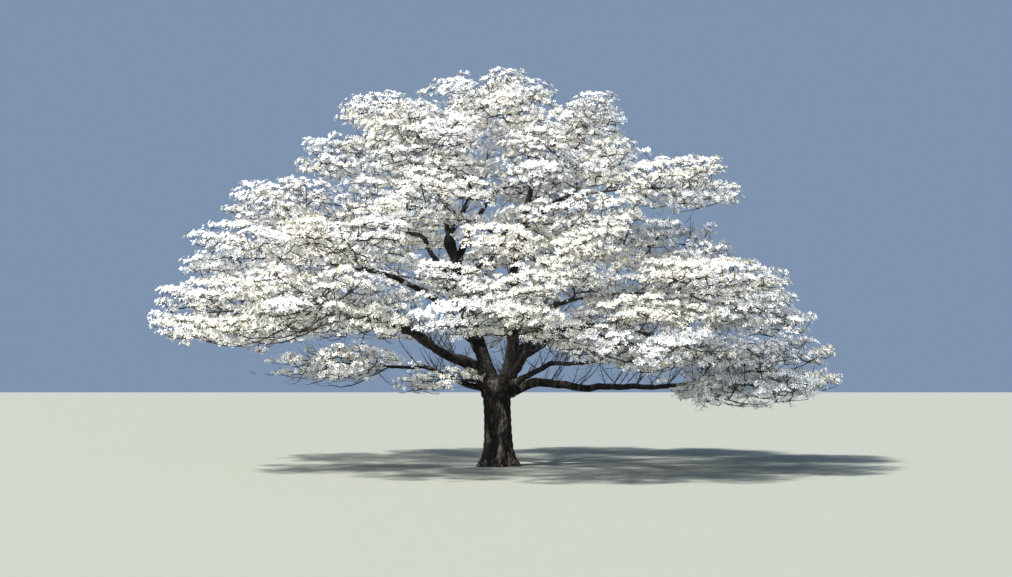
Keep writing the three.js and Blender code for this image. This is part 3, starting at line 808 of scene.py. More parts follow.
# Where three bent waves of unlike lengths meet, the limb swells into a knot
knots = np.sin(x * 21 + 3 * np.sin(z * 9)) * np.sin(y * 23 + 2 * np.sin(x * 8)) * np.sin(z * 27 + x * 5)
push = near_trunk * RIDGE_DEPTH * (ridges + blocks * (ridges > 0)) + (1 - near_trunk) * KNOT_DEPTH * knots
points += normals * (push * np.clip(z / GROUND_FADE, 0, 1))[:, None]
points[:, 2] = np.where(points[:, 2] < FLAT_CUT, 0, points[:, 2])
bark.data.vertices.foreach_set("co", points.astype(np.float32).ravel())
bark.data.update()
for polygon in bark.data.polygons:
    polygon.use_smooth = True
print("bark box", points.min(axis=0).round(3), points.max(axis=0).round(3))

# %% [markdown]
# ## Bark of an old dogwood, and the smoother bark of its twigs
#
# Real dogwood bark is dark grey-brown and matt, cut by cracks into blocks some 10 to 20 mm wide, with
# paler grey-tan plates where old layers have come away low on the trunk. The blocks could be an image, but
# a Voronoi pattern cracks any surface in any direction with no seam. Blocks of their real size would be
# one pixel here, so they are drawn at 34 mm. Twigs are young wood: smoother, a little redder, and matt.

# %% Old bark, cracked into blocks
BLOCK_MM = 34
PLATE_MM = 90

# Dark, dry and fissured: nearly no gloss, deep cracks that stay black, pale plates low on the trunk
old_bark, tree, shader = new_material("dogwood_bark_old_fissured", 0.93)
place = add_node(tree, "ShaderNodeTexCoord").outputs["Object"]
warp = add_node(tree, "ShaderNodeTexNoise", {"Vector": place, "Scale": 1000 / PLATE_MM, "Detail": 3.0})
bent = add_node(tree, "ShaderNodeVectorMath", {0: warp.outputs["Color"], 1: (0.03, 0.03, 0.03)},
                operation="MULTIPLY")
bent_place = add_node(tree, "ShaderNodeVectorMath", {0: place, 1: bent.outputs[0]}, operation="ADD")
cracks = add_node(tree, "ShaderNodeTexVoronoi", {"Vector": bent_place.outputs[0], "Scale": 1000 / BLOCK_MM},
                  feature="DISTANCE_TO_EDGE")
crack_shade = add_node(tree, "ShaderNodeValToRGB", {"Fac": cracks.outputs["Distance"]})
crack_shade.color_ramp.elements[0].color = linear("#0c0a08")
crack_shade.color_ramp.elements[1].position = 0.16
crack_shade.color_ramp.elements[1].color = linear("#1a1613")
# The plates are long and upright: the pattern is squeezed along the trunk before it is read
upright = add_node(tree, "ShaderNodeMapping", {"Vector": place, "Scale": (1.0, 1.0, 0.22)})
plates = add_node(tree, "ShaderNodeTexNoise",
                  {"Vector": upright.outputs[0], "Scale": 1200 / PLATE_MM, "Detail": 4.0, "Roughness": 0.62})
low_down = add_node(tree, "ShaderNodeSeparateXYZ", {0: place})
fade = add_node(tree, "ShaderNodeMapRange", {"Value": low_down.outputs["Z"], "From Min": 0.3, "From Max": 1.5,
                                             "To Min": 1.0, "To Max": 0.25})
plate_amount = add_node(tree, "ShaderNodeMapRange", {"Value": plates.outputs[0], "From Min": 0.52,
                                                     "From Max": 0.66})
plate_here = add_node(tree, "ShaderNodeMath", {0: plate_amount.outputs[0], 1: fade.outputs[0]},
                      operation="MULTIPLY")
pale = add_node(tree, "ShaderNodeMix", {"Factor": plate_here.outputs[0], 6: crack_shade.outputs["Color"],
                                        7: linear("#8f8172")}, data_type="RGBA")
tree.links.new(pale.outputs[2], shader.inputs["Base Color"])
relief = add_node(tree, "ShaderNodeBump", {"Height": cracks.outputs["Distance"], "Strength": 0.9,
                                           "Distance": 0.05})
tree.links.new(relief.outputs[0], shader.inputs["Normal"])
bark.data.materials.clear()
bark.data.materials.append(old_bark)
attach(bark, "root")
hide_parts("trunk", *[limb["name"] for limb in limbs])
print(old_bark.name, "has", len(tree.nodes), "nodes")

# %% Young bark, smooth and finely wrinkled along the twig
WRINKLE_MM = 12

# Thin bark with a little more sheen than the old one, in two close browns that change along its wrinkles
young_bark, tree, shader = new_material("dogwood_bark_young_twig", 0.8)
place = add_node(tree, "ShaderNodeTexCoord").outputs["Object"]
wrinkle = add_node(tree, "ShaderNodeTexNoise", {"Vector": place, "Scale": 1000 / WRINKLE_MM, "Detail": 2.0})
tone = add_node(tree, "ShaderNodeValToRGB", {"Fac": wrinkle.outputs[0]})
tone.color_ramp.elements[0].color = linear("#1b1512")
tone.color_ramp.elements[1].color = linear("#40332b")
tree.links.new(tone.outputs["Color"], shader.inputs["Base Color"])
print(young_bark.name, "has", len(tree.nodes), "nodes")

# %% [markdown]
# ## Tufts: where the flowers of each spray stand
#
# In bloom every twig end of a dogwood turns up and carries one flower head, and the heads stand side by
# side in thin domed sheets, with bare twigs under them. They could be scattered on the sprays' faces, but
# then no twig would reach them. Here small tufts are laid on two domed sheets in each spray of the solids,
# never closer to each other than a tuft is wide, with a few more in the layer's own space between the
# sprays. The shaded ones are thinned out, and the rest are joined to the nearest twig, one by one.

# %% Lay tufts on two thin sheets over each spray
TUFT_WIDE = 174
TUFT_THICK = 130
THROWS = 300
# Each sheet of a spray: its height and its reach, as shares of the spray's own half sizes
SHEETS = [(0.55, 1.12), (-0.15, 0.95)]
SHEET_DROOP = 0.5
UPTURN = 0.6
SHEET_ROUGH = 16
LOOSE_THROWS = 700
LOOSE_TUFTS = 14
LOOSE_WIDE = 260
LOOSE_THICK = 150
LOOSE_REACH = 0.94
LIMB_ROOM = 75
limb_trace = trace[trace[:, 4] < 0]


def sheet_spots(spray, height, reach, out, random):
    """Spots on a flat dome over a spray. Its edge droops, but less so on the crown's outer side."""
    turn = random.random(THROWS) * 2 * math.pi
    far = reach * np.sqrt(random.random(THROWS))
    flat = np.column_stack([far * np.cos(turn), far * np.sin(turn)])
    outer = flat @ (spray["axes"][:2] @ out)
    droop = SHEET_DROOP * far**2 * (1 - UPTURN * np.clip(outer, 0, 1))
    rise = spray["half"][2] * (height - droop) + SHEET_ROUGH * random.normal(size=THROWS)
    return spray["centre"] + np.column_stack([flat * spray["half"][:2], rise]) @ spray["axes"]


def free_spots(index, points):
    clear = np.linalg.norm(points[:, None] - limb_trace[:, :3], axis=2) - limb_trace[:, 3]
    return points[owned(index, points, 0.0) & (clear.min(axis=1) > LIMB_ROOM)]


def keep_apart(kept, points, wide, thick, most=10**6):
    """Adds points to those kept, each at least so wide or thick away from all before it."""
    size = np.array([wide, wide, thick])
    added = 0
    for point in points:
        if not kept or ((((np.array(kept) - point) / size) ** 2).sum(axis=1) > 1).all():
            kept.append(point)
            added += 1
        if added == most:
            break
    return added


def lay_tufts(index):
    layer = layers[index]
    random = np.random.default_rng(5000 + index)
    kept, of_spray = [], []
    for number, spray in enumerate(layer["sprays"]):
        for height, reach in SHEETS:
            spots = free_spots(index, sheet_spots(spray, height, reach, layer["axes"][0], random))
            of_spray += [number] * keep_apart(kept, spots, TUFT_WIDE, TUFT_THICK)
    thrown = random.normal(size=(LOOSE_THROWS, 3))
    far = random.random(LOOSE_THROWS) ** (1 / 3) / np.linalg.norm(thrown, axis=1)
    thrown *= far[:, None] * LOOSE_REACH
    spots = free_spots(index, layer["centre"] + (thrown * layer["half"]) @ layer["axes"])
    middles = np.array([spray["centre"] for spray in layer["sprays"]])
    before = len(kept)
    keep_apart(kept, spots, LOOSE_WIDE, LOOSE_THICK, LOOSE_TUFTS)
    of_spray += [int(np.linalg.norm(middles - spot, axis=1).argmin()) for spot in kept[before:]]
    return np.array(kept), np.array(of_spray)


for index, layer in enumerate(layers):
    layer["tufts"], layer["tuft_spray"] = lay_tufts(index)
print("tufts", sum(len(layer["tufts"]) for layer in layers))

# %% Thin them out in the shade: a dogwood sets its flower buds where the light falls
# Tufts so near to the line straight up and so far above count as overhead. So many of them make full shade,
# and there this share of the tufts is lost
SHADE_WIDE = 380
SHADE_ABOVE = 160
SHADE_FULL = 18
SHADE_LOSS = 0.38

all_tufts = np.concatenate([layer["tufts"] for layer in layers]).astype(np.float32)
for index, layer in enumerate(layers):
    here = layer["tufts"].astype(np.float32)
    east, north, above = (all_tufts[:, axis] - here[:, axis, None] for axis in range(3))
    overhead = (east**2 + north**2 < SHADE_WIDE**2) & (above > SHADE_ABOVE)
    loss = SHADE_LOSS * np.minimum(1, overhead.sum(axis=1) / SHADE_FULL)
    kept = np.random.default_rng(7000 + index).random(len(loss)) > loss
    layer["tufts"], layer["tuft_spray"] = layer["tufts"][kept], layer["tuft_spray"][kept]
print("tufts left in the light", sum(len(layer["tufts"]) for layer in layers))

# %% Join each tuft to the nearest twig, nearest first, so that branchlets fork from branchlets
TUFT_STALK = 70
RISE_PENALTY = 0.8
END_RADIUS = 4.8
# A branchlet is as thick as the number of tufts that it carries, to this power, and thins by these shares
PIPE_POWER = 0.42
THIN_AT_ELBOW = 0.9
THIN_AT_END = 0.8
STEM_POINTS = 14
TWIG_POINTS = 7
TWIG_SAG = 0.06
# Where the elbow of a branchlet lies on its way, and how far it hangs through
ELBOW_AT = 0.55
ELBOW_SAG = 0.16


def twig_path(twig, count):
    """A twig of the solids as a line that sags a little on its way."""
    t = np.linspace(0, 1, count)[:, None]
    sag = np.linalg.norm(twig["end"] - twig["start"]) * TWIG_SAG
    return twig["start"] + (twig["end"] - twig["start"]) * t - UP * sag * np.sin(math.pi * t)


def join_tufts(layer):
    """The branchlets that join a layer's tufts to its wood, each a line of three points and its radii."""
    wood = [bezier(layer["stem"], np.linspace(STEM_BASE_SHARE, 1, STEM_POINTS))]
    wood += [twig_path(twig, TWIG_POINTS) for twig in layer["twigs"]]
    nodes = np.concatenate(wood)
    old = len(nodes)
    ends = layer["tufts"] - UP * TUFT_STALK
    nearest = np.linalg.norm(ends[:, None] - nodes, axis=2).min(axis=1)
    parents = [-1] * old
    nodes = list(nodes)
    for tuft in np.argsort(nearest):
        end = ends[tuft]
        away = end - np.array(nodes)
        cost = np.linalg.norm(away, axis=1) + RISE_PENALTY * np.maximum(0, -away[:, 2])
        parent = int(np.argmin(cost))
        start = nodes[parent]
        middle = start + (end - start) * ELBOW_AT - UP * ELBOW_SAG * max(0, end[2] - start[2])
        nodes += [middle, end]
        parents += [parent, len(nodes) - 2]
    load = np.zeros(len(nodes))
    for i in range(len(nodes) - 1, old - 1, -1):
        load[i] += (i - old) % 2
        if parents[i] >= 0:
            load[parents[i]] += load[i]
    radii = END_RADIUS * np.maximum(1, load) ** PIPE_POWER
    return [
        (np.array([nodes[parents[i - 1]], nodes[i - 1], nodes[i]]),
         np.array([radii[i - 1], radii[i - 1] * THIN_AT_ELBOW, radii[i] * THIN_AT_END]))
        for i in range(old + 1, len(nodes), 2)
    ]


for layer in layers:
    layer["branchlets"] = join_tufts(layer)
print("branchlets", sum(len(layer["branchlets"]) for layer in layers))

# %% [markdown]
# ## Flower heads: four notched bracts round a button
#
# What looks like a petal is a bract, 40 to 50 mm long, creamy white, with a notch at its tip and a crease
# down its middle. Four of them stand crosswise round a small button of true flowers. Each bract has two
# faces, the least that show the notch and the crease, because tens of thousands of heads are needed.
# They could be joined by hand in one mesh. Geometry Nodes place them instead: a cloud of points carries
# which way each head faces, its size and its shape, and one tree puts a head on every point.

# %% Three shapes of flower head, from a flat old one to a cupped young one
BRACT_MM = 44
BRACT_OUTLINE = np.array([(0.0, 0.03), (-0.36, 0.88), (0.0, 0.82), (0.36, 0.88)])
BRACT_FACES = [(0, 3, 2), (0, 2, 1)]
# Every other bract lies a little higher, so that its edges cross its neighbours' and don't meet them
BRACT_STEP = 0.02
BUTTON_RADIUS = 0.15
BUTTON_FOOT = 0.01
BUTTON_HEIGHT = 0.16


def head_mesh(name, lifts, widths):
    """A flower head that faces +Z. lifts are the heights of a bract's base, tip and notch."""
    base, tip, notch = lifts
    heights = np.array([base, tip, notch, tip])
    points, faces = [], []
    for quarter in range(4):
        turn = quarter * math.pi / 2
        out = vec(-math.sin(turn), math.cos(turn), 0)
        side = vec(math.cos(turn), math.sin(turn), 0)
        wide = widths[quarter % 2]
        first = len(points)
        lift = BRACT_STEP * (quarter % 2)
        for (across, along), height in zip(BRACT_OUTLINE, heights):
            points.append(out * along * wide + side * across * wide + UP * (height + lift))
        faces += [tuple(first + i for i in face) for face in BRACT_FACES]
    first, bract_faces = len(points), len(faces)
    for third in range(3):
        turn = third * 2 * math.pi / 3
        points.append(vec(math.cos(turn), math.sin(turn), 0) * BUTTON_RADIUS + UP * BUTTON_FOOT)
    points.append(UP * BUTTON_HEIGHT)
    faces += [(first + i, first + (i + 1) % 3, first + 3) for i in range(3)]
    mesh = bpy.data.meshes.new(name)
    mesh.from_pydata(np.array(points) * BRACT_MM * MM, [], faces)
    is_button = mesh.attributes.new("is_button", "BOOLEAN", "FACE")
    is_button.data.foreach_set("value", [number >= bract_faces for number in range(len(faces))])
    return mesh


HEADS = [
    ("head_flat", (0.0, -0.03, 0.0), (1.0, 0.92)),
    ("head_open", (0.0, 0.17, 0.12), (1.0, 0.9)),
    ("head_cupped", (0.0, 0.46, 0.36), (0.92, 0.84)),
]
head_collection = bpy.data.collections.new("head_shapes")
for name, lifts, widths in HEADS:
    head_collection.objects.link(bpy.data.objects.new(name, head_mesh(name, lifts, widths)))
print("triangles in a head", triangle_count(bpy.data.meshes["head_open"]))

# %% Where each head stands on its tuft, and which way it faces
HEADS_PER_TUFT = 10
TUFT_RADIUS = 122
TUFT_DOME = 0.42
GOLDEN_TURN = 2.399963
RANK_OFFSET = 0.45
# The least of a value and how much chance adds: the place of a head on its tuft, and its size
RING_SPREAD = (0.85, 0.3)
HEAD_SIZES = (0.86, 0.26)
HEIGHT_ROUGH = 14
# A head faces up, out from its tuft's middle, out from its layer's middle, and a little at random
FACE_UP = 0.62
FACE_RING = 0.55
LEAN_OUT = 0.75
SCATTER = 0.4
EDGE_SLACK = -0.04
SHAPE_SHARES = (0.3, 0.48, 0.22)
TINT_SHARES = (0.45, 0.33, 0.22)


def place_heads(index):
    layer = layers[index]
    random = np.random.default_rng(9000 + index)
    tufts = layer["tufts"]
    count = len(tufts) * HEADS_PER_TUFT
    tuft = np.repeat(np.arange(len(tufts)), HEADS_PER_TUFT)
    rank = np.tile(np.arange(HEADS_PER_TUFT), len(tufts))
    spin = random.random(len(tufts))[tuft] * 2 * math.pi + GOLDEN_TURN * rank
    out = np.sqrt((rank + RANK_OFFSET) / HEADS_PER_TUFT)
    out = out * (RING_SPREAD[0] + RING_SPREAD[1] * random.random(count))
    ring = np.column_stack([np.cos(spin), np.sin(spin), np.zeros(count)])
    offset = ring * (out * TUFT_RADIUS)[:, None]
    offset[:, 2] = -TUFT_DOME * TUFT_RADIUS * out**2 + HEIGHT_ROUGH * random.normal(size=count)
    spots = tufts[tuft] + offset
    from_middle = (spots - layer["centre"]) @ layer["axes"].T / layer["half"]
    outward = from_middle @ layer["axes"]
    facing = UP * FACE_UP + ring * (FACE_RING * out)[:, None] + outward * LEAN_OUT
    facing = facing + SCATTER * random.normal(size=(count, 3))
    facing /= np.linalg.norm(facing, axis=1)[:, None]
    shape = random.choice(3, size=count, p=SHAPE_SHARES)
    turn = random.random(count) * math.pi / 2
    size = HEAD_SIZES[0] + HEAD_SIZES[1] * random.random(count)
    inside = owned(index, spots, EDGE_SLACK)
    found = {"spots": spots, "facing": facing, "tuft": tuft, "turn": turn, "size": size, "shape": shape}
    return {label: values[inside] for label, values in found.items()}


for index, layer in enumerate(layers):
    layer["heads"] = place_heads(index)
    # One tint for each spray and its tufts
    layer["tints"] = np.random.default_rng(300 + index).choice(3, size=len(layer["sprays"]), p=TINT_SHARES)
    layer["heads"]["tint"] = layer["tints"][layer["tuft_spray"]][layer["heads"]["tuft"]]
print("flower heads", sum(len(layer["heads"]["tuft"]) for layer in layers))

# %% Bracts in three plain whites, dealt out by spray, and the buttons
TINTS = [("dogwood_bract_warm_white", "#eceae5"), ("dogwood_bract_cool_white", "#e6e8eb"),
         ("dogwood_bract_cream", "#ebe8e0")]
# A bract is thin, matt and faintly waxy: one plain white each, and less gloss than paint
bract_materials = [plain_material(name, colour, 0.62) for name, colour in TINTS]
for material in bract_materials:
    material.node_tree.nodes["Principled BSDF"].inputs["Specular IOR Level"].default_value = 0.3
# The button is a head of tiny matt buds, so it has one plain green-yellow
button_material = plain_material("dogwood_button_green_yellow", "#a9a04e", 0.75)
print("bract whites", [material.name for material in bract_materials])


# %% A tree of nodes that puts a small shape on every point: a flower head here, and a pair of leaves later
def new_group(name, sockets):
    """A geometry tree with its inputs and outputs, and a dictionary of the inputs' identifiers."""
    group = bpy.data.node_groups.new(name, "GeometryNodeTree")
    group.interface.new_socket("Geometry", in_out="INPUT", socket_type="NodeSocketGeometry")
    group.interface.new_socket("Geometry", in_out="OUTPUT", socket_type="NodeSocketGeometry")
    keys = {}
    for label, kind in sockets:
        keys[label] = group.interface.new_socket(label, in_out="INPUT", socket_type=kind).identifier
    return group, keys, add_node(group, "NodeGroupInput").outputs


def named(group, name, data_type):
    return add_node(group, "GeometryNodeInputNamedAttribute", {"Name": name}, data_type=data_type).outputs[0]


shapes_group, shapes_keys, given = new_group("shapes_on_points", [
    ("Shapes", "NodeSocketCollection"), ("Tint 0", "NodeSocketMaterial"), ("Tint 1", "NodeSocketMaterial"),
    ("Tint 2", "NodeSocketMaterial"), ("Button", "NodeSocketMaterial"),
])
shapes = add_node(shapes_group, "GeometryNodeCollectionInfo",
                  {"Collection": given["Shapes"], "Separate Children": True, "Reset Children": True})
spin = add_node(shapes_group, "ShaderNodeCombineXYZ", {"Z": named(shapes_group, "turn", "FLOAT")})
spun = add_node(shapes_group, "FunctionNodeEulerToRotation", {"Euler": spin.outputs[0]})
faced = add_node(shapes_group, "FunctionNodeAlignRotationToVector", {
    "Rotation": spun.outputs[0], "Vector": named(shapes_group, "facing", "FLOAT_VECTOR"),
}, axis="Z")
cloud = add_node(shapes_group, "GeometryNodeMeshToPoints", {"Mesh": given["Geometry"]})
placed = add_node(shapes_group, "GeometryNodeInstanceOnPoints", {
    "Points": cloud.outputs[0], "Instance": shapes.outputs[0], "Pick Instance": True,
    "Instance Index": named(shapes_group, "shape", "INT"), "Rotation": faced.outputs[0],
    "Scale": named(shapes_group, "size", "FLOAT"),
})
result = add_node(shapes_group, "GeometryNodeRealizeInstances", {"Geometry": placed.outputs[0]}).outputs[0]
tint = named(shapes_group, "tint", "INT")
for number in range(3):
    is_tint = add_node(shapes_group, "FunctionNodeCompare", {2: tint, 3: number}, data_type="INT",
                       operation="EQUAL")
    result = add_node(shapes_group, "GeometryNodeSetMaterial", {
        "Geometry": result, "Selection": is_tint.outputs[0], "Material": given[f"Tint {number}"],
    }).outputs[0]
result = add_node(shapes_group, "GeometryNodeSetMaterial", {
    "Geometry": result, "Selection": named(shapes_group, "is_button", "BOOLEAN"), "Material": given["Button"],
}).outputs[0]
add_node(shapes_group, "NodeGroupOutput", {"Geometry": result})
print(shapes_group.name, "has", len(shapes_group.nodes), "nodes")


# %% Make the blossom, one piece for the front and one for the back of each tier
def point_cloud(name, points, attributes):
    """A mesh of loose points in metres, with values for each."""
    mesh = bpy.data.meshes.new(name)
    mesh.from_pydata(points * MM, [], [])
    for label, (kind, values) in attributes.items():
        field = "vector" if kind == "FLOAT_VECTOR" else "value"
        mesh.attributes.new(label, kind, "POINT").data.foreach_set(field, np.asarray(values).ravel())
    obj = bpy.data.objects.new(name, mesh)
    bpy.context.scene.collection.objects.link(obj)
    return obj


def run_group(obj, group, keys, values):
    modifier = obj.modifiers.new(group.name, "NODES")
    modifier.node_group = group
    for label, value in values.items():
        modifier[keys[label]] = value
    take_result(obj)


def tier_and_side(layer):
    tier = layer["name"].split("_")[1]
    return tier, "front" if layer["centre"][1] < 0 else "back"


def put_on_points(name, shapes, tints, button, members, key):
    """One piece with a shape on every point of its layers, kept in each layer under this key."""
    def gather(label):
        return np.concatenate([layer[key][label] for layer in members])

    piece = point_cloud(name, gather("spots"), {
        "facing": ("FLOAT_VECTOR", gather("facing")), "turn": ("FLOAT", gather("turn")),
        "size": ("FLOAT", gather("size")), "shape": ("INT", gather("shape")), "tint": ("INT", gather("tint")),
    })
    values = {"Shapes": shapes, "Button": button}
    run_group(piece, shapes_group, shapes_keys, values | {f"Tint {i}": tint for i, tint in enumerate(tints)})
    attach(piece, "root")
    print(name, "triangles", triangle_count(piece.data))
    return piece


pieces = {}
for layer in layers:
    pieces.setdefault(tier_and_side(layer), []).append(layer)
for (tier_name, side), members in pieces.items():
    piece = put_on_points(f"blossom_{tier_name}_{side}", head_collection, bract_materials, button_material,
                          members, "heads")
    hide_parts(*[layer["name"] for layer in members])

# %% [markdown]
# ## Young leaves
#
# A dogwood's leaves open just after its flowers, in pairs under each head, small, folded along the middle
# and bronze green. From a step away they are no more than specks of olive among the white. A pair is two
# folded kites, and the same tree of nodes puts one under most of the tufts. A scatter over the crown would
# be quicker, but would leave leaves in the air between the layers.

# %% A pair of young leaves, and where the pairs stand
LEAF_MM = 52
LEAF_WIDTH = 0.4
LEAF_FOLD = 0.14
LEAF_LIFT = 0.5
PAIRS_PER_TUFT = 0.8
LEAF_DROP = 35
LEAF_SCATTER = 30
LEAF_TILT = 0.5
LEAF_SIZES = (0.8, 0.5)


def leaf_pair_mesh(name):
    points, faces = [], []
    for hand in (1, -1):
        first = len(points)
        points += [vec(0, 0, 0), vec(hand * 0.5, LEAF_WIDTH / 2, LEAF_LIFT / 2 + LEAF_FOLD),
                   vec(hand, 0, LEAF_LIFT), vec(hand * 0.5, -LEAF_WIDTH / 2, LEAF_LIFT / 2 + LEAF_FOLD)]
        sides = [(first, first + 2, first + 1), (first, first + 3, first + 2)]
        faces += [face[::hand] for face in sides]
    mesh = bpy.data.meshes.new(name)
    mesh.from_pydata(np.array(points) * LEAF_MM * MM, [], faces)
    mesh.attributes.new("is_button", "BOOLEAN", "FACE")
    return mesh


leaf_collection = bpy.data.collections.new("leaf_shapes")
leaf_collection.objects.link(bpy.data.objects.new("leaf_pair", leaf_pair_mesh("leaf_pair")))
# A young leaf has fine hairs, so it is matt, with a soft sheen at most
LEAF_TINTS = [("dogwood_leaf_olive", "#77773c"), ("dogwood_leaf_bronze", "#80663c"),
              ("dogwood_leaf_fresh_green", "#8c9448")]
leaf_materials = [plain_material(name, colour, 0.7) for name, colour in LEAF_TINTS]

for index, layer in enumerate(layers):
    random = np.random.default_rng(700 + index)
    chosen = np.flatnonzero(random.random(len(layer["tufts"])) < PAIRS_PER_TUFT)
    count = len(chosen)
    facing = UP + LEAF_TILT * random.normal(size=(count, 3))
    layer["leaves"] = {
        "spots": layer["tufts"][chosen] - UP * LEAF_DROP + LEAF_SCATTER * random.normal(size=(count, 3)),
        "facing": facing / np.linalg.norm(facing, axis=1)[:, None], "turn": random.random(count) * math.pi,
        "size": LEAF_SIZES[0] + LEAF_SIZES[1] * random.random(count), "shape": np.zeros(count, int),
        "tint": layer["tints"][layer["tuft_spray"][chosen]],
    }
put_on_points("young_leaves", leaf_collection, leaf_materials, leaf_materials[0], layers, "leaves")

# %% [markdown]
# ## Twigs, branchlets and stalks
#
# Against the light a dogwood's crown is a net of fine dark lines: the stem of each layer, its opposite
# twigs, the branchlets that fork from them, the bare twigs between and the short stalks under the heads.
# Each could be a tube of its own, but there are thousands. All of them follow a line, so one tree of nodes
# turns lines into rods: it reads how thick the wood is at each point.

# %% A tree of nodes that turns lines into rods
rods_group, rods_keys, given = new_group("rods_on_lines", [
    ("Sides", "NodeSocketInt"), ("Bark", "NodeSocketMaterial"),
])
lines = add_node(rods_group, "GeometryNodeMeshToCurve", {"Mesh": given["Geometry"]})
profile = add_node(rods_group, "GeometryNodeCurvePrimitiveCircle",
                   {"Resolution": given["Sides"], "Radius": 1.0})
rods = add_node(rods_group, "GeometryNodeCurveToMesh", {
    "Curve": lines.outputs[0], "Profile Curve": profile.outputs[0],
    "Scale": named(rods_group, "thickness", "FLOAT"), "Fill Caps": True,
})
real = add_node(rods_group, "GeometryNodeRealizeInstances", {"Geometry": rods.outputs[0]})
barked = add_node(rods_group, "GeometryNodeSetMaterial",
                  {"Geometry": real.outputs[0], "Material": given["Bark"]})
add_node(rods_group, "NodeGroupOutput", {"Geometry": barked.outputs[0]})
print(rods_group.name, "has", len(rods_group.nodes), "nodes")


def make_rods(name, lines, sides):
    """Rods along many lines, each a pair of points in mm and their radii in mm."""
    points = np.concatenate([line for line, _ in lines]) * MM
    thickness = np.concatenate([radii for _, radii in lines]) * MM
    edges, first = [], 0
    for line, _ in lines:
        edges += [(first + i, first + i + 1) for i in range(len(line) - 1)]
        first += len(line)
    mesh = bpy.data.meshes.new(name)
    mesh.from_pydata(points, edges, [])
    mesh.attributes.new("thickness", "FLOAT", "POINT").data.foreach_set("value", thickness.astype(np.float32))
    obj = bpy.data.objects.new(name, mesh)
    bpy.context.scene.collection.objects.link(obj)
    run_group(obj, rods_group, rods_keys, {"Sides": sides, "Bark": young_bark})
    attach(obj, "root")
    return obj


# %% Bare twigs of five kinds, inside the crown and under its lowest layers
# Each kind: its length, its radius at the base, how steeply it leaves and how far it strays to the side
# share: how far out of its layer's space it may reach
UPRIGHT = {"length": (460, 900), "radius": 10, "rise": 0.75, "stray": 0.4, "share": 0.8}
HANGING = {"length": (480, 860), "radius": 8.5, "rise": -0.75, "stray": 0.4, "share": 1.25}
LONG_SHOOT = {"length": (1050, 1600), "radius": 15, "rise": -0.42, "stray": 0.3, "share": 1.25}
WATER_SHOOT = {"length": (200, 640), "radius": 9, "rise": 1.1, "stray": 0.9, "share": math.inf}
FORKING = {"length": (800, 1350), "radius": 15, "rise": 0.62, "stray": 0.5, "share": 0.95}
STEM_STARTS = (0.1, 0.3, 0.5, 0.7)
WATER_SHOOTS = 12
BARE_PAIRS = 4
BARE_FORK = 0.36
# The least share of its kind's rise that a twig has, and how much chance adds
RISE_SHARES = (0.6, 0.8)
# A bare twig hangs through and turns up at its end, in shares of its length, and tapers by this share
BARE_SAG = 0.06
BARE_UPTURN = 0.2
BARE_TAPER = 0.7
# Its side twigs: the longest twig and the thickest wood that count towards their sizes
SIDE_LONGEST = 900
SIDE_THICKEST = 9
# Their length before the first pair, what each pair loses of it, and its least share and how much chance adds
SIDE_FIRST = 1.1
SIDE_SHORTENING = 0.18
SIDE_LENGTHS = (0.6, 0.7)
# How each goes along, to the side and up, how far it hangs through, and its radii as shares of the wood's
SIDE_WAY = (0.8, 0.7, 0.1)
SIDE_CLIMB = 0.45
SIDE_SAG = 0.1
SIDE_RADII = np.array([0.5, 0.38, 0.22])
BOX_ROOM = 160


def bare_twig(start, out, kind, random):
    """A twig whose end turns up, with side twigs in opposite pairs that turn up too."""
    low_length, high_length = kind["length"]
    length = low_length + (high_length - low_length) * random.random()
    way = out + kind["stray"] * random.normal(size=3) * (1, 1, 0)
    rise = kind["rise"] * (RISE_SHARES[0] + RISE_SHARES[1] * random.random())
    way = unit(unit(way * (1, 1, 0)) + UP * rise)
    t = np.linspace(0, 1, BARE_PAIRS + 2)
    path = bezier((start, start + way * 0.3 * length, start + way * 0.7 * length - UP * BARE_SAG * length,
                   start + way * length + UP * BARE_UPTURN * length), t)
    radii = kind["radius"] * (1 - BARE_TAPER * t)
    lines = [(path, radii)]
    forward, sideways, up = SIDE_WAY
    for at in range(1, BARE_PAIRS + 1):
        along = unit(path[at] - path[at - 1])
        side = unit(np.cross(along, UP))
        longest = min(length, SIDE_LONGEST) * BARE_FORK * (SIDE_FIRST - SIDE_SHORTENING * at)
        for hand in (-1, 1):
            reach = longest * (SIDE_LENGTHS[0] + SIDE_LENGTHS[1] * random.random())
            way = along * forward + hand * side * sideways + UP * (up + SIDE_CLIMB * random.random())
            tip = path[at] + way * reach
            bend = (path[at] + tip) / 2 - UP * SIDE_SAG * reach
            lines.append((np.array([path[at], bend, tip]), min(radii[at], SIDE_THICKEST) * SIDE_RADII))
    return lines


def keeps_in(points, index, share):
    """Whether a twig keeps to its layer's space, or near it, and to the box of the solids."""
    near = (shares_out(points)[:, index] < share).all()
    box_low, box_high = np.array(cad_low) / MM - BOX_ROOM, np.array(cad_high) / MM + BOX_ROOM
    return near and (points > box_low).all() and (points < box_high).all()


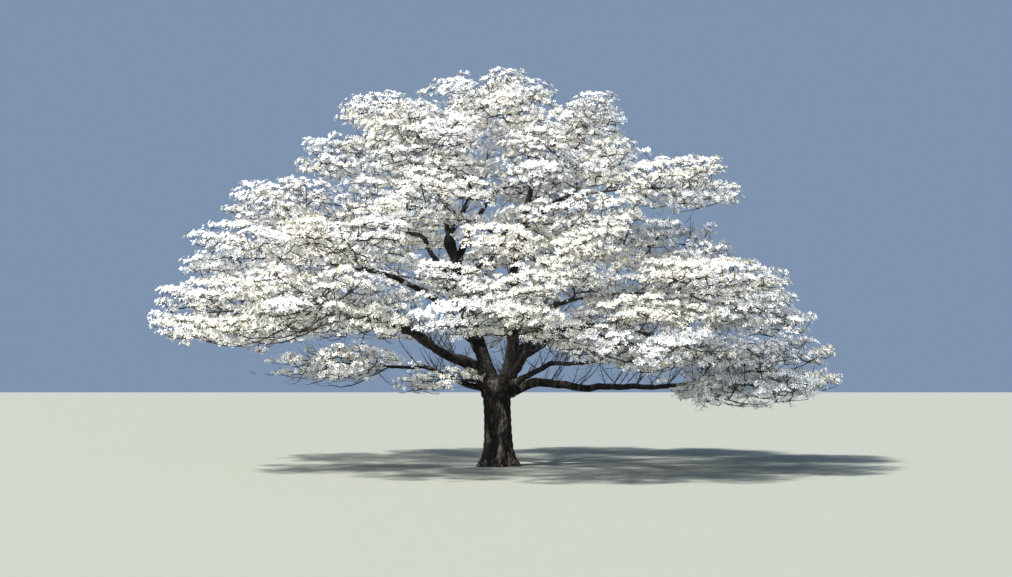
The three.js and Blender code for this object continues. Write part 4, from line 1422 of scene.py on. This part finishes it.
bare_lines = []
for index, layer in enumerate(layers):
    random = np.random.default_rng(1200 + index)
    starts = [
        (twig_path(twig, TWIG_POINTS)[random.integers(1, 4)], unit(twig["end"] - twig["start"]), UPRIGHT)
        for twig in layer["twigs"]
    ]
    starts += [(bezier(layer["stem"], t), layer["axes"][0], FORKING) for t in STEM_STARTS]
    if layer["name"].split("_")[1] in ("skirt", "low"):
        starts += [(start, out, HANGING) for start, out, kind in starts if kind is UPRIGHT]
        starts += [(bezier(layer["stem"], t), layer["axes"][0], LONG_SHOOT) for t in STEM_STARTS]
        # Water shoots stand along the limb that carries the layer, but not near its root
        limb_path = layer["limb"]["path"]
        for at in random.integers(len(limb_path) // 5, len(limb_path) - 1, WATER_SHOOTS):
            starts.append((limb_path[at], unit(limb_path[at + 1] - limb_path[at]), WATER_SHOOT))
    for start, out, kind in starts:
        lines = bare_twig(start, out, kind, random)
        bare_lines += [line for line in lines if keeps_in(line[0], index, kind["share"])]
print("bare twigs", len(bare_lines))

# %% The stems and twigs of the solids, then the branchlets
# Only the larger twigs are drawn, so each is stouter than life by this much
TWIG_SWELL = 1.5
TWIG_END_RADIUS = 1.5 * END_RADIUS
TWIG_RINGS = 6

stem_lines, branchlet_lines = [], []
for layer in layers:
    t = np.linspace(0.5 * STEM_BASE_SHARE, 1, STEM_POINTS)
    stem_lines.append((bezier(layer["stem"], t), stem_radius(t)))
    for twig in layer["twigs"]:
        radii = np.linspace(TWIG_SWELL * twig["radius"], TWIG_END_RADIUS, TWIG_RINGS)
        stem_lines.append((twig_path(twig, TWIG_RINGS), radii))
    branchlet_lines += layer["branchlets"]
for obj in (make_rods("twigs_main", stem_lines, 5), make_rods("twigs_branchlets", branchlet_lines, 3),
            make_rods("twigs_bare", bare_lines, 3)):
    print(obj.name, "triangles", triangle_count(obj.data))

# %% A tree of nodes for the stalks: a three-sided cone from the end of a branchlet to a head
stalks_group, stalks_keys, given = new_group("stalks_on_points", [
    ("Stalk radius", "NodeSocketFloat"), ("Bark", "NodeSocketMaterial"),
])
cone = add_node(stalks_group, "GeometryNodeMeshCone", {
    "Vertices": 3, "Radius Top": 0.0, "Radius Bottom": given["Stalk radius"], "Depth": 1.0,
}, fill_type="NGON").outputs[0]
aimed = add_node(stalks_group, "FunctionNodeAlignRotationToVector",
                 {"Vector": named(stalks_group, "aim", "FLOAT_VECTOR")}, axis="Z")
stretch = add_node(stalks_group, "ShaderNodeCombineXYZ",
                   {"X": 1.0, "Y": 1.0, "Z": named(stalks_group, "length", "FLOAT")})
cloud = add_node(stalks_group, "GeometryNodeMeshToPoints", {"Mesh": given["Geometry"]})
placed = add_node(stalks_group, "GeometryNodeInstanceOnPoints", {
    "Points": cloud.outputs[0], "Instance": cone, "Rotation": aimed.outputs[0], "Scale": stretch.outputs[0],
})
real = add_node(stalks_group, "GeometryNodeRealizeInstances", {"Geometry": placed.outputs[0]})
barked = add_node(stalks_group, "GeometryNodeSetMaterial",
                  {"Geometry": real.outputs[0], "Material": given["Bark"]})
add_node(stalks_group, "NodeGroupOutput", {"Geometry": barked.outputs[0]})
print(stalks_group.name, "has", len(stalks_group.nodes), "nodes")

# %% A stalk under every third head or so
STALK_SHARE = 0.3
STALK_RADIUS = 3.8

roots, aims = [], []
for layer in layers:
    heads = layer["heads"]
    stalked = np.random.default_rng(layer["seed"]).random(len(heads["tuft"])) < STALK_SHARE
    root = (layer["tufts"][heads["tuft"]] - UP * TUFT_STALK)[stalked]
    roots.append(root)
    aims.append(heads["spots"][stalked] - root)
roots, aims = np.concatenate(roots), np.concatenate(aims)
stalks = point_cloud("twigs_stalks", roots, {
    "aim": ("FLOAT_VECTOR", aims), "length": ("FLOAT", np.linalg.norm(aims, axis=1) * MM),
})
run_group(stalks, stalks_group, stalks_keys, {"Stalk radius": STALK_RADIUS * MM, "Bark": young_bark})
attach(stalks, "root")
print("stalks", len(roots), "triangles", triangle_count(stalks.data))

# %% Print the two boxes side by side and finish
low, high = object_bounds()
for axis in range(3):
    print("xyz"[axis], [round(v, 3) for v in (cad_low[axis], low[axis], cad_high[axis], high[axis])])
